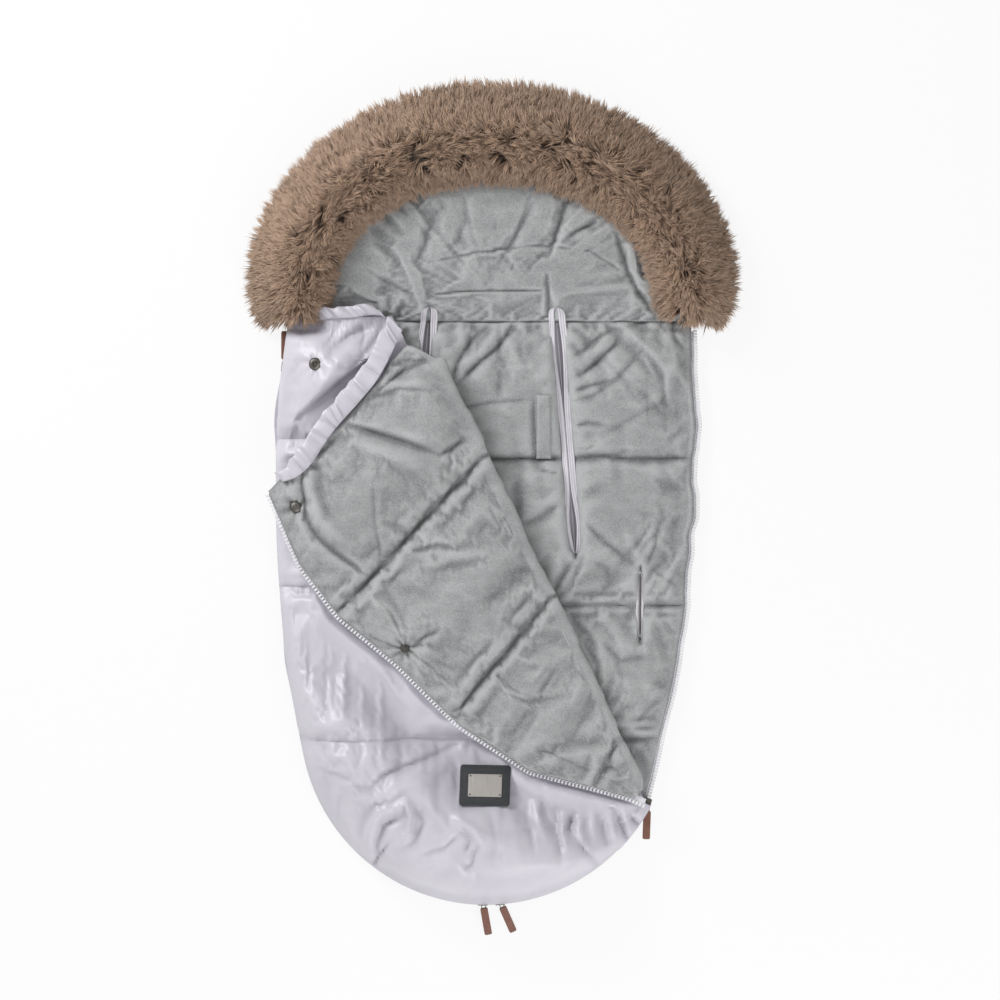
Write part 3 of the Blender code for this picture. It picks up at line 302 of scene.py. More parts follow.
def mesh_object(name: str, points: Array, faces: Array, smooth_deg: float = 50.0) -> bpy.types.Object:
    """A mesh object of points and faces with one number of corners each.

    Args:
        name: The piece's name.
        points: Corner places.
        faces: Corner numbers, a row for each face.
        smooth_deg: Edges sharper than this stay sharp.

    Returns:
        The new object, linked to the scene.
    """
    mesh = bpy.data.meshes.new(name)
    sides = faces.shape[1]
    mesh.vertices.add(len(points))
    mesh.vertices.foreach_set("co", np.ascontiguousarray(points, np.float32).ravel())
    mesh.loops.add(faces.size)
    mesh.loops.foreach_set("vertex_index", np.ascontiguousarray(faces, np.int32).ravel())
    mesh.polygons.add(len(faces))
    mesh.polygons.foreach_set("loop_start", np.arange(0, faces.size, sides, dtype=np.int32))
    mesh.update(calc_edges=True)
    mesh.validate()
    mesh.shade_smooth()
    mesh.set_sharp_from_angle(angle=math.radians(smooth_deg))
    made = bpy.data.objects.new(name, mesh)
    bpy.context.scene.collection.objects.link(made)
    return made


def ring_mesh(name: str, path: Array, radius: float, sides: int, flat: float) -> bpy.types.Object:
    """A flattened tube along a closed path: rings of points square to it.

    Args:
        name: The piece's name.
        path: The centreline.
        radius: Half the tube's width.
        sides: Points in each ring.
        flat: Height as a share of the width.

    Returns:
        The new object.
    """
    ahead = unit(np.roll(path, -1, axis=0) - np.roll(path, 1, axis=0))
    side = unit(np.cross(ahead, (0.0, 0.0, 1.0)))
    up = np.cross(side, ahead)
    angles = np.linspace(0, 2 * np.pi, sides, endpoint=False)
    cosines, sines = np.cos(angles)[None, :, None], (flat * np.sin(angles))[None, :, None]
    ring = side[:, None] * cosines + up[:, None] * sines
    points = path[:, None] + ring * radius
    index = np.arange(len(path) * sides).reshape(len(path), sides)
    after = np.roll(index, -1, axis=0)
    quads = np.stack([index, np.roll(index, -1, axis=1), np.roll(after, -1, axis=1), after], axis=-1)
    return outward(mesh_object(name, points.reshape(-1, 3), quads.reshape(-1, 4)))


def mesh_points(mesh: bpy.types.Mesh) -> Array:
    """The corners of a mesh."""
    co = np.zeros(len(mesh.vertices) * 3, np.float32)
    mesh.vertices.foreach_get("co", co)
    return co.reshape(-1, 3).astype(float)


def outward(piece: bpy.types.Object) -> bpy.types.Object:
    """A closed piece with its faces turned outwards, by the sign of its volume."""
    mesh = piece.data
    mesh.calc_loop_triangles()
    tris = np.zeros(len(mesh.loop_triangles) * 3, np.int32)
    mesh.loop_triangles.foreach_get("vertices", tris)
    corner = mesh_points(mesh)[tris.reshape(-1, 3)]
    if np.einsum("ij,ij->", corner[:, 0], np.cross(corner[:, 1], corner[:, 2])) < 0:
        mesh.flip_normals()
    return piece


def repeated(name: str, shape: Array, faces: Array, origins: Array, axes: Array) -> bpy.types.Object:
    """Many copies of one small closed shape in one mesh.

    Args:
        name: The piece's name.
        shape: The shape's points.
        faces: The shape's faces.
        origins: Where each copy goes.
        axes: Each copy's three axes, one after another.

    Returns:
        The new object.
    """
    points = origins[:, None, :] + np.einsum("pk,nkc->npc", shape, axes)
    shifts = (np.arange(len(origins)) * len(shape))[:, None, None]
    every = (faces[None] + shifts).reshape(-1, faces.shape[1])
    return mesh_object(name, points.reshape(-1, 3), every)


def ringed(name: str, rings: Array, ends: Sequence[Array], smooth_deg: float) -> bpy.types.Object:
    """A closed piece of stacked rings with a point in the middle of either end.

    Args:
        name: The piece's name.
        rings: Points as tiers, steps round, coordinates.
        ends: The middle of the first ring's cap and of the last one's.
        smooth_deg: Edges sharper than this stay sharp.

    Returns:
        The new object.
    """
    tiers, sides = rings.shape[:2]
    first, last = tiers * sides, tiers * sides + 1
    index = np.arange(first).reshape(tiers, sides)
    beside = np.roll(index, -1, axis=1)
    quads = np.stack([index[:-1], index[1:], beside[1:], beside[:-1]], axis=-1).reshape(-1, 4)
    caps = np.concatenate([np.stack([index[0], beside[0], np.full(sides, first)], axis=-1),
                           np.stack([beside[-1], index[-1], np.full(sides, last)], axis=-1)])
    tris = np.concatenate([quads[:, [0, 1, 2]], quads[:, [0, 2, 3]], caps])
    points = np.concatenate([rings.reshape(-1, 3), ends])
    return outward(mesh_object(name, points, tris, smooth_deg))


def lathe(name: str, profile: Sequence[tuple[float, float]], seat: Array, normal: Array,
          sides: int = 40) -> bpy.types.Object:
    """A turned piece: a profile of radius and height spun round a normal, its ends on the axis.

    Args:
        name: The piece's name.
        profile: Radius and height pairs from the top of the axis to its foot.
        seat: Foot of the axis.
        normal: Direction of the axis.
        sides: Steps round.

    Returns:
        The new object.
    """
    normal = unit(normal)
    side = unit(np.cross(normal, (0.0, 1.0, 0.0)))
    other = np.cross(normal, side)
    angles = np.linspace(0, 2 * np.pi, sides, endpoint=False)
    spin = np.cos(angles)[:, None] * side + np.sin(angles)[:, None] * other
    inner = np.array(profile[1:-1])
    rings = seat + inner[:, None, :1] * spin[None] + inner[:, None, 1:] * normal
    top, foot = seat + profile[0][1] * normal, seat + profile[-1][1] * normal
    return ringed(name, rings, [top, foot], 40.0)


def layer_height(node: str, x: Array, y: Array, upper: bool, spread: float) -> Array:
    """Height of a CAD layer's upper or lower face, smoothed: a Gaussian mean of its corners' heights.

    Args:
        node: The CAD node.
        x: Where to read it.
        y: Where to read it.
        upper: Whether to read its upper face.
        spread: Width of the mean.

    Returns:
        The height at each point.
    """
    return height_from(node_corners(node), x, y, upper, spread)


def coarse_layer(node: str, x: Array, y: Array, upper: bool, step: int) -> Array:
    """A CAD layer's height over a grid, read at every few points and brought back to all of them.

    Args:
        node: The CAD node.
        x: The grid.
        y: The grid.
        upper: Whether to read its upper face.
        step: How many points apart it is read.

    Returns:
        The height at each point.
    """
    read = layer_height(node, x[::step, ::step], y[::step, ::step], upper, 0.008)
    return rescaled(read, *x.shape)


def plane_of(points: Array) -> Array:
    """The plane nearest to points: what x and y are multiplied by, and its height where both are nought."""
    return np.linalg.lstsq(np.c_[points[:, :2], np.ones(len(points))], points[:, 2], rcond=None)[0]


def node_corners(node: str) -> Array:
    """The corners of a CAD node."""
    return mesh_points(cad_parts[node].data)


def height_from(co: Array, x: Array, y: Array, upper: bool, spread: float) -> Array:
    """Height read from scattered points: a Gaussian mean of those near each place.

    Args:
        co: The points.
        x: Where to read it.
        y: Where to read it.
        upper: Whether to read the upper of two points at one place.
        spread: Width of the mean.

    Returns:
        The height at each place.
    """
    spots, inverse = np.unique(np.round(co[:, :2], 5), axis=0, return_inverse=True)
    heights = np.full(len(spots), -np.inf if upper else np.inf)
    (np.maximum if upper else np.minimum).at(heights, inverse.ravel(), co[:, 2])
    px, py = x.ravel()[:, None], y.ravel()[:, None]
    apart = (px - spots[None, :, 0]) ** 2 + (py - spots[None, :, 1]) ** 2
    nearest = apart.min(axis=1, keepdims=True)
    weight = np.exp(-(apart - nearest) / (2 * spread**2))
    return ((weight @ heights) / weight.sum(axis=1)).reshape(x.shape)


SURFACES: dict[str, Array] = {}


def surface_height(name: str, x: Array, y: Array, spread: float = 0.0015) -> Array:
    """Height of a finished cloth surface at each place.

    Args:
        name: The surface's name.
        x: Where to read it.
        y: Where to read it.
        spread: Width of the mean.

    Returns:
        The height at each place.
    """
    points = SURFACES[name].reshape(-1, 3)
    x, y = np.asarray(x, float), np.asarray(y, float)
    reach = 0.012
    near = ((points[:, 0] > x.min() - reach) & (points[:, 0] < x.max() + reach)
            & (points[:, 1] > y.min() - reach) & (points[:, 1] < y.max() + reach))
    return height_from(points[near], x, y, True, spread)


def tuck(x: Array, y: Array, spot: tuple[float, float], deep: float, wide: float, pleats: int) -> Array:
    """The dip and radial pleats that a press stud draws into cloth.

    Args:
        x: The points.
        y: The points.
        spot: The stud's place.
        deep: How deep it is drawn in.
        wide: How far the dip reaches.
        pleats: Pleats round it.

    Returns:
        The change in height.
    """
    dx, dy = x - spot[0], y - spot[1]
    away = np.hypot(dx, dy)
    turn = np.arctan2(dy, dx)
    rays = np.cos(pleats * turn + 1.3) + 0.6 * np.cos((pleats - 2) * turn + 0.4)
    fade = np.exp(-((away / (1.7 * wide)) ** 2)) * smooth(away / (0.5 * wide))
    return -deep * np.exp(-((away / wide) ** 2)) + 0.16 * deep * rays * fade


def border(shape: tuple[int, int]) -> Array:
    """Which points of a grid lie on its border."""
    out = np.zeros(shape, bool)
    out[[0, -1], :] = True
    out[:, [0, -1]] = True
    return out


@dataclass(frozen=True)
class Settling:
    """A short simulation of a padded cloth, cut a little larger than its place and pushed up from below."""

    rows: int
    cols: int
    loose: float
    push: float
    cap: float
    bend: float = 0.3
    held_share: float = 0.35
    frames: int = 18

    def moves(self, start: Array, held: Array) -> Array:
        """How far each point of a grid moves when a coarse copy of it settles.

        Args:
            start: The cloth's grid before it settles.
            held: Which of its points are sewn down.

        Returns:
            The move of each point.
        """
        coarse = resampled(start, self.rows, self.cols)
        sewn = rescaled(held.astype(float), self.rows, self.cols) > self.held_share
        done = self.settled(coarse, sewn)
        return resampled(done - coarse, *held.shape)

    def settled(self, points: Array, held: Array) -> Array:
        """The coarse grid after the simulation.

        Args:
            points: The grid before it.
            held: Which of its points are sewn down.

        Returns:
            The settled grid.
        """
        cloth = mesh_object("settling", points.reshape(-1, 3), grid_quads(points))
        group = cloth.vertex_groups.new(name="held")
        group.add([int(i) for i in np.flatnonzero(held.ravel())], 1.0, "REPLACE")
        change = cloth.modifiers.new("cloth", "CLOTH")
        rules = change.settings
        rules.quality = 4
        rules.mass = 0.15
        rules.tension_stiffness = 12
        rules.compression_stiffness = 12
        rules.shear_stiffness = 4
        rules.bending_stiffness = self.bend
        rules.air_damping = 3
        rules.vertex_group_mass = "held"
        rules.shrink_min = -self.loose
        rules.use_pressure = True
        rules.uniform_pressure_force = self.push
        rules.effector_weights.gravity = 0
        change.collision_settings.use_collision = False
        change.point_cache.frame_end = self.frames
        scene = bpy.context.scene
        for number in range(1, self.frames + 1):
            scene.frame_set(number)
        seen = cloth.evaluated_get(bpy.context.evaluated_depsgraph_get())
        moved = mesh_points(seen.data).reshape(points.shape) - points
        scene.frame_set(1)
        mesh = cloth.data
        bpy.data.objects.remove(cloth)
        bpy.data.meshes.remove(mesh)
        far = np.linalg.norm(moved, axis=-1, keepdims=True)
        return points + moved * np.minimum(1, self.cap / np.maximum(far, 1e-9))


# Finishes


def fill_in(node: bpy.types.Node, inputs: dict[str | int, object]) -> bpy.types.Node:
    """Sets the values of a node's inputs."""
    for key, value in inputs.items():
        node.inputs[key].default_value = value
    return node


class Nodes:
    """Builds a node tree: places nodes and joins their sockets."""

    def __init__(self, tree: bpy.types.NodeTree) -> None:
        """Starts on a tree."""
        self.tree = tree

    def add(self, kind: str, inputs: dict[str | int, object] | None = None,
            **values: object) -> bpy.types.Node:
        """Places a node, sets its own properties and fills in its inputs."""
        made = self.tree.nodes.new(kind)
        for key, value in values.items():
            setattr(made, key, value)
        return fill_in(made, inputs or {})

    def join(self, source: bpy.types.NodeSocket, target: bpy.types.NodeSocket) -> None:
        """Joins an output to an input."""
        self.tree.links.new(source, target)

    def sum(self, pairs: Sequence[tuple[bpy.types.NodeSocket, float]]) -> bpy.types.NodeSocket:
        """A weighted sum of values."""
        total = None
        for source, weight in pairs:
            part = self.add("ShaderNodeMath", {1: weight}, operation="MULTIPLY")
            self.join(source, part.inputs[0])
            if total is None:
                total = part.outputs[0]
                continue
            both = self.add("ShaderNodeMath", operation="ADD")
            self.join(total, both.inputs[0])
            self.join(part.outputs[0], both.inputs[1])
            total = both.outputs[0]
        return total

    def ramp(self, source: bpy.types.NodeSocket,
             stops: Sequence[tuple[float, Colour]]) -> bpy.types.NodeSocket:
        """A value turned into a colour along stops."""
        made = self.add("ShaderNodeValToRGB")
        ramp = made.color_ramp
        for index, (place, colour) in enumerate(stops):
            stop = ramp.elements[index] if index < 2 else ramp.elements.new(place)
            stop.position = place
            stop.color = (*colour, 1.0)
        self.join(source, made.inputs["Fac"])
        return made.outputs["Color"]

    def spread(self, source: bpy.types.NodeSocket, low: float, high: float) -> bpy.types.NodeSocket:
        """A value from 0 to 1 spread between two others."""
        made = self.add("ShaderNodeMapRange", {"To Min": low, "To Max": high})
        self.join(source, made.inputs["Value"])
        return made.outputs["Result"]


def waved(x: Array, y: Array) -> Array:
    """Moves the open right edge in and out as its gathered zip does, and leaves the rest."""
    wave = 0.0034 * drift(y, 0 * y, 0.021, 9) - 0.0004
    ends = smooth((y + 0.3150) / 0.040) * smooth((0.2100 - y) / 0.030)
    return x + wave * ends * smooth((x - 0.165) / 0.055)


def hollows(z: Array) -> Array:
    """How far each point lies below the cloth round it: from -1 on a ridge to 1 in a crease. It drives
    painted shade in creases and a painted highlight on ridges.
    """
    near = (blurred(z, 5) - z) / 0.0013
    broad = (blurred(z, 30) - z) / 0.0050
    return np.clip(near + broad, -1.0, 1.0)


def surface_group() -> bpy.types.NodeTree:
    """The shared effect: fine grain and broad unevenness of a surface, as two values and a height."""
    name = "surface_grain"
    if name in bpy.data.node_groups:
        return bpy.data.node_groups[name]
    group = bpy.data.node_groups.new(name, "ShaderNodeTree")
    for label, start in (("Grain Size", 0.001), ("Patch Size", 0.02), ("Stretch", 1.0)):
        socket = group.interface.new_socket(label, in_out="INPUT", socket_type="NodeSocketFloat")
        socket.default_value = start
    for label in ("Grain", "Patches", "Height"):
        group.interface.new_socket(label, in_out="OUTPUT", socket_type="NodeSocketFloat")
    build = Nodes(group)
    entry, leave = build.add("NodeGroupInput"), build.add("NodeGroupOutput")
    place = build.add("ShaderNodeTexCoord").outputs["Object"]
    values = {}
    for label, size, stretched in (("Grain", "Grain Size", False), ("Patches", "Patch Size", True)):
        scale = build.add("ShaderNodeMath", {0: 1.0}, operation="DIVIDE")
        build.join(entry.outputs[size], scale.inputs[1])
        vector = place
        if stretched:
            pull = build.add("ShaderNodeCombineXYZ", {"Y": 1.0, "Z": 1.0})
            build.join(entry.outputs["Stretch"], pull.inputs["X"])
            times = build.add("ShaderNodeVectorMath", operation="MULTIPLY")
            build.join(place, times.inputs[0])
            build.join(pull.outputs[0], times.inputs[1])
            vector = times.outputs[0]
        detail = 3.0 if label == "Grain" else 5.0
        made = build.add("ShaderNodeTexNoise", {"Detail": detail, "Roughness": 0.6})
        build.join(vector, made.inputs["Vector"])
        build.join(scale.outputs[0], made.inputs["Scale"])
        values[label] = made.outputs["Fac"]
        build.join(made.outputs["Fac"], leave.inputs[label])
    build.join(build.sum(((values["Grain"], 0.7), (values["Patches"], 0.3))), leave.inputs["Height"])
    return group


@dataclass(frozen=True)
class Finish:
    """A finish: two colours mixed by grain and patches, gloss, sheen and a fine bump; where its cavity share
    is set, painted shade in creases and a painted highlight on ridges.
    """

    name: str
    dark: Colour
    light: Colour
    rough: tuple[float, float] = (0.8, 0.95)
    grain: float = 0.0012
    patch: float = 0.02
    stretch: float = 1.0
    grain_share: float = 0.5
    bump: float = 0.3
    depth: float = 0.0004
    sheen: float = 0.0
    metal: float = 0.0
    specular: float = 0.5
    # Share by which the cavity attribute shifts the colour: painted shade in creases, painted highlight on
    # ridges.
    cavity_shading: float = 0.0

    def material(self) -> bpy.types.Material:
        """The finish as a material, made once."""
        if self.name in bpy.data.materials:
            return bpy.data.materials[self.name]
        made = bpy.data.materials.new(self.name)
        made.use_nodes = True
        build = Nodes(made.node_tree)
        shader = made.node_tree.nodes["Principled BSDF"]
        effect = build.add("ShaderNodeGroup")
        effect.node_tree = surface_group()
        fill_in(effect, {"Grain Size": self.grain, "Patch Size": self.patch, "Stretch": self.stretch})
        grain, patches = effect.outputs["Grain"], effect.outputs["Patches"]
        parts = [(grain, self.grain_share), (patches, 1 - self.grain_share)]
        # The cavity attribute pulls the tone down in creases and up on ridges: painted shade and painted
        # highlight.
        if self.cavity_shading:
            crease = build.add("ShaderNodeAttribute", attribute_name="cavity_shading")
            parts.append((crease.outputs["Fac"], -self.cavity_shading))
        middle = tuple((a + b) / 2 for a, b in zip(self.dark, self.light))
        # The darkest and lightest stops, which the cavity shift mostly reaches: a painted shade colour and a
        # painted highlight colour.
        deep, high = tuple(0.45 * a for a in self.dark), tuple(1.12 * a for a in self.light)
        colour = build.ramp(build.sum(parts), ((0.0, deep), (1.0, high), (0.30, self.dark), (0.5, middle),
                                               (0.70, self.light)))
        build.join(colour, shader.inputs["Base Color"])
        build.join(build.spread(patches, *self.rough), shader.inputs["Roughness"])
        bump = build.add("ShaderNodeBump", {"Strength": self.bump, "Distance": self.depth})
        build.join(effect.outputs["Height"], bump.inputs["Height"])
        build.join(bump.outputs["Normal"], shader.inputs["Normal"])
        fill_in(shader, {"Metallic": self.metal, "Sheen Weight": self.sheen,
                         "Specular IOR Level": self.specular})
        return made


# The last share given to the plush, nylon and binding sets their painted crease shade and painted ridge
# highlight.
PLUSH = Finish("grey_plush", (0.216, 0.221, 0.224), (0.440, 0.446, 0.450), (0.85, 1.0), 0.0017, 0.013, 0.50,
               0.60, 0.75, 0.0014, sheen=0.30, specular=0.2, cavity_shading=0.20)
NYLON = Finish("lilac_nylon", (0.500, 0.480, 0.540), (0.585, 0.565, 0.620), (0.36, 0.46), 0.0007, 0.05, 1.0,
               0.35, 0.12, 0.0002, sheen=0.15, specular=0.5, cavity_shading=0.16)
BINDING = Finish("lilac_binding", (0.62, 0.60, 0.65), (0.71, 0.69, 0.73), (0.45, 0.6), 0.0007, 0.02, 1.0,
                 0.4, 0.2, 0.0002, sheen=0.1, cavity_shading=0.12)
TAPE = Finish("zip_tape", (0.60, 0.59, 0.64), (0.72, 0.71, 0.75), (0.75, 0.9), 0.0006, 0.01, 1.0, 0.7, 0.3,
              0.0003)
TEETH = Finish("white_teeth", (0.70, 0.70, 0.73), (0.84, 0.84, 0.86), (0.25, 0.4), 0.002, 0.02, 1.0, 0.3,
               0.05, 0.0001)
GUNMETAL = Finish("dark_metal", (0.085, 0.078, 0.072), (0.17, 0.158, 0.146), (0.42, 0.56), 0.0008, 0.008,
                  1.0, 0.4, 0.08, 0.0001, metal=1.0)
NICKEL = Finish("plain_nickel", (0.42, 0.395, 0.375), (0.56, 0.53, 0.50), (0.30, 0.42), 0.0004, 0.02, 12.0,
                0.5, 0.08, 0.0001, metal=1.0)
LEATHER = Finish("brown_leather", (0.115, 0.042, 0.026), (0.235, 0.105, 0.070), (0.5, 0.7), 0.0009, 0.006,
                 1.0, 0.5, 0.4, 0.0004)
GRAINED = Finish("black_leatherette", (0.018, 0.020, 0.022), (0.040, 0.044, 0.047), (0.42, 0.58), 0.0010,
                 0.008, 1.0, 0.5, 0.45, 0.0004)
THREAD = Finish("pale_thread", (0.55, 0.53, 0.55), (0.74, 0.72, 0.73), (0.7, 0.85), 0.0005, 0.004, 1.0, 0.5,
                0.3, 0.0002)
FUR_BASE = Finish("fur_backing", (0.085, 0.055, 0.038), (0.15, 0.10, 0.072), (0.9, 1.0), 0.002, 0.012)


def dress(piece: bpy.types.Object, finish: Finish, body: Body,
          stands_for: Sequence[str] = ()) -> bpy.types.Object:
    """Gives a piece its finish, its body and the CAD nodes that it stands for.

    Args:
        piece: The piece.
        finish: Its finish.
        body: The CAD body it rides on.
        stands_for: CAD nodes that it replaces.

    Returns:
        The piece.
    """
    piece.data.materials.clear()
    piece.data.materials.append(finish.material())
    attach(piece, body.value)
    if stands_for:
        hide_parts(*stands_for)
    LOG.info("%s: %d faces", piece.name, len(piece.data.polygons))
    return piece


# The back panel


SLIT = 0.0003


@dataclass
class Slot:
    """A bound slot in the back panel: a lens-shaped opening between two ends."""

    x_top: float
    y_top: float
    x_foot: float
    y_foot: float
    widest: float
    narrow: float

    @property
    def lipped(self) -> bool:
        """Whether it is one of the wide slots, whose edges are bound with folded lips."""
        return self.widest > 0.003

    def centre(self, y: Array) -> Array:
        """The slot's middle at y."""
        return mix(self.x_top, self.x_foot, (self.y_top - y) / (self.y_top - self.y_foot))

    def half(self, y: Array) -> Array:
        """Half the opening in the plush at y: rounded at both ends."""
        share = np.clip((self.y_top - y) / (self.y_top - self.y_foot), 0, 1)
        round_off = np.sqrt(np.clip(1 - np.abs(2 * share - 1) ** 12, 0, 1))
        return mix(self.widest, self.narrow, smooth(share * 1.25)) * round_off

    def gap(self, y: Array) -> Array:
        """Half of what stays open between the bindings: a slit, wider near both ends than midway."""
        share = np.clip((self.y_top - y) / (self.y_top - self.y_foot), 0, 1)
        upper = 0.0036 * np.exp(-(((share - 0.12) / 0.17) ** 2))
        lower = 0.0034 * np.exp(-(((share - 0.87) / 0.10) ** 2))
        return SLIT + (upper + lower) * self.lipped

    def inside(self, y: Array) -> Array:
        """Whether a height lies within the slot."""
        return (y < self.y_top) & (y > self.y_foot)


SLOTS = (
    Slot(-0.1693, -0.0710, -0.1693, -0.1465, 0.0016, 0.0016),
    Slot(-0.0738, 0.2142, -0.0952, -0.0500, 0.0055, 0.0060),
    Slot(0.0738, 0.2142, 0.0952, -0.0500, 0.0055, 0.0060),
    Slot(0.1693, -0.0710, 0.1693, -0.1465, 0.0016, 0.0016),
)


PIXEL = 0.00115
MIDDLE_PX, MIDDLE_PY = 492.5, 509.5


@dataclass(frozen=True)
class Fold:
    """A fold or a seam drawn on cloth: a round ridge or a sharp valley along a line."""

    line: tuple[tuple[float, float], ...]
    rise: float
    wide: float

    def height(self, x: Array, y: Array) -> Array:
        """Its height at each point: a bell across the line that fades towards both ends."""
        away, at = segment_distance(x, y, photo_line(self.line))
        fade = smooth(at * 4) * smooth((1 - at) * 4) * 0.75 + 0.25
        sharp = 2.0 if self.rise > 0 else 1.2
        return self.rise * fade * np.exp(-(np.abs(away / self.wide) ** sharp))


def fold(rise: float, wide: float, *line: float) -> Fold:
    """A fold by its rise and width in millimetres, and x and y in the photograph of each of its points."""
    return Fold(tuple(zip(line[::2], line[1::2])), rise / 1000, wide / 1000)


def from_photo(px: float, py: float) -> tuple[float, float]:
    """World x and y of a place read off the photograph."""
    return (px - MIDDLE_PX) * PIXEL, (MIDDLE_PY - py) * PIXEL


def photo_line(spots: Sequence[tuple[float, float]]) -> Array:
    """World x and y of a line read off the photograph."""
    return np.array([from_photo(*spot) for spot in spots])


@dataclass
class BackPanel:
    """The padded back: grey plush sewn into channels, nylon underneath, four bound slots."""

    rows: int = 250
    spans: tuple[int, ...] = (26, 1, 34, 1, 48, 1, 34, 1, 26)
    inset: float = 0.0076
    seam_z: float = 0.0085
    crown_z: float = 0.0180
    foot_z: float = 0.0128
    edge_z: float = 0.0102
    binding_z: float = 0.0112
    edge_roll: float = 0.034
    seam_half: float = 0.0020
    pucker: float = 0.0016
    pucker_reach: float = 0.028
    settling: Settling = Settling(126, 104, 0.035, 1.2, 0.008, held_share=0.3)
    folds: tuple[Fold, ...] = (
        fold(-6.0, 3.4, 449, 392, 458, 363, 471, 341, 489, 325),
        fold(-6.2, 3.6, 458, 384, 481, 361, 499, 345, 516, 325),
        fold(3.4, 6.5, 464, 368, 486, 348, 503, 328),
        fold(-2.6, 3.0, 456, 409, 491, 402, 532, 399),
        fold(-4.0, 2.6, 533, 396, 534, 430, 535, 461),
        fold(-4.2, 3.4, 570, 358, 583, 351, 603, 335, 621, 327),
        fold(-5.2, 3.6, 571, 379, 583, 373, 595, 363, 615, 345, 622, 331),
        fold(3.0, 5.5, 571, 368, 586, 360, 606, 343),
        fold(-4.2, 3.4, 571, 392, 587, 386, 613, 380),
        fold(-3.6, 5.0, 571, 401, 591, 396, 613, 382, 634, 359, 642, 349),
        fold(-3.4, 3.0, 572, 426, 588, 423, 604, 425),
        fold(-2.6, 3.0, 573, 446, 584, 449, 596, 444),
        fold(-2.4, 7.0, 595, 439, 624, 422, 660, 402, 671, 381),
        fold(2.6, 9.0, 640, 412, 662, 392, 676, 360),
        fold(-4.0, 3.6, 672, 317, 674, 337, 685, 353),
        fold(-3.0, 4.0, 622, 330, 640, 322, 652, 330),
        fold(-3.6, 7.0, 515, 476, 518, 504, 513, 530),
        fold(3.6, 10.0, 498, 470, 504, 500, 500, 530),
        fold(-3.0, 2.8, 538, 469, 548, 472, 558, 474),
        fold(-3.0, 4.6, 522, 524, 540, 517, 560, 504),
        fold(-3.8, 4.0, 581, 520, 603, 541, 636, 567),
        fold(-4.2, 3.0, 573, 559, 562, 577, 551, 596),
        fold(-2.6, 5.0, 592, 560, 606, 568, 612, 590),
        fold(-3.6, 4.4, 645, 566, 654, 546, 656, 530),
        fold(-2.6, 4.0, 651, 570, 668, 580, 682, 590),
        fold(2.6, 6.0, 640, 560, 630, 545, 624, 530),
        fold(-3.0, 6.0, 600, 640, 620, 660, 650, 655),
        fold(2.6, 11.0, 612, 690, 640, 680, 668, 700),
        fold(-2.6, 4.0, 630, 720, 650, 716, 664, 724),
    )

    def columns(self, y: Array, outline: Outline) -> Array:
        """The x of every column in each row, with a pair of columns on each slot's edges.

        Args:
            y: Height of each row.
            outline: The edge of the plush.

        Returns:
            The x of each point of the grid.
        """
        left, right = outline.left(y), outline.right(y)
        anchors = [left]
        for slot in SLOTS:
            near = np.clip(y, slot.y_foot, slot.y_top)
            share = (slot.centre(near) - outline.left(near)) / (outline.right(near) - outline.left(near))
            middle = mix(left, right, share)
            half = np.where(slot.inside(y), np.maximum(slot.half(y), SLIT), SLIT)
            anchors += [middle - half, middle + half]
        anchors.append(right)
        parts = [mix(a[:, None], b[:, None], np.linspace(0, 1, n + 1)[None, :-1])
                 for a, b, n in zip(anchors, anchors[1:], self.spans)]
        return np.concatenate([*parts, anchors[-1][:, None]], axis=1)

    def grid(self, rows: int) -> tuple[Array, Array, Array]:
        """The panel's grid seen from above: the x and y of each point, and the height of each row."""
        outline = OUTLINE.at(self.inset)
        y_row = mix(outline.corner(), OUTLINE.hood_y + 0.0002, np.linspace(0, 1, rows))
        x = self.columns(y_row, outline)
        y = np.repeat(y_row[:, None], x.shape[1], axis=1)
        return x, outline.sag(x, y), y_row

    def openings(self, y_row: Array) -> tuple[Array, list[tuple[Slot, int]]]:
        """Which cells are cloth, and each slot with its column of cells."""
        middle = 0.5 * (y_row[1:] + y_row[:-1])
        keep = np.ones((len(middle), sum(self.spans)), bool)
        placed = list(zip(SLOTS, np.cumsum(self.spans)[:-1:2]))
        for slot, place in placed:
            keep[:, place] = ~slot.inside(middle)
        return keep, placed

    def height(self, x: Array, y: Array) -> Array:
        """The plush's height before it settles: crowned channels between seams, rolled edges."""
        seams = np.array([OUTLINE.foot_y - OUTLINE.foot_r, *BACK_SEAMS, OUTLINE.hood_y])
        wave = 0.0016 * drift(x, y * 0, 0.035, 3)
        top = np.full_like(x, self.seam_z)
        for low, high in zip(seams, seams[1:]):
            share = np.clip((y + wave - low) / (high - low), 0, 1)
            full = self.foot_z if high == seams[1] else self.crown_z
            rise = swell(np.clip(4.6 * share * (1 - share), 0, 1)) ** 0.8
            top = np.maximum(top, mix(self.seam_z, full, rise * ((share > 0) & (share < 1))))
        depth = OUTLINE.depth(x, y) - self.inset
        return mix(self.edge_z, top, swell(depth / self.edge_roll))

    def puckers(self, x: Array, y: Array) -> Array:
        """Short gathers that run off each seam, fading with distance."""
        out = np.zeros_like(x)
        for number, seam in enumerate((*BACK_SEAMS, OUTLINE.hood_y)):
            away = np.abs(y - seam)
            lean = x + 0.25 * (y - seam) * drift(x, y * 0, 0.09, 40 + number)
            wave = drift(lean, y * 0.12, 0.011, 20 + number)
            out += self.pucker * wave * np.exp(-((away / self.pucker_reach) ** 2))
        return out

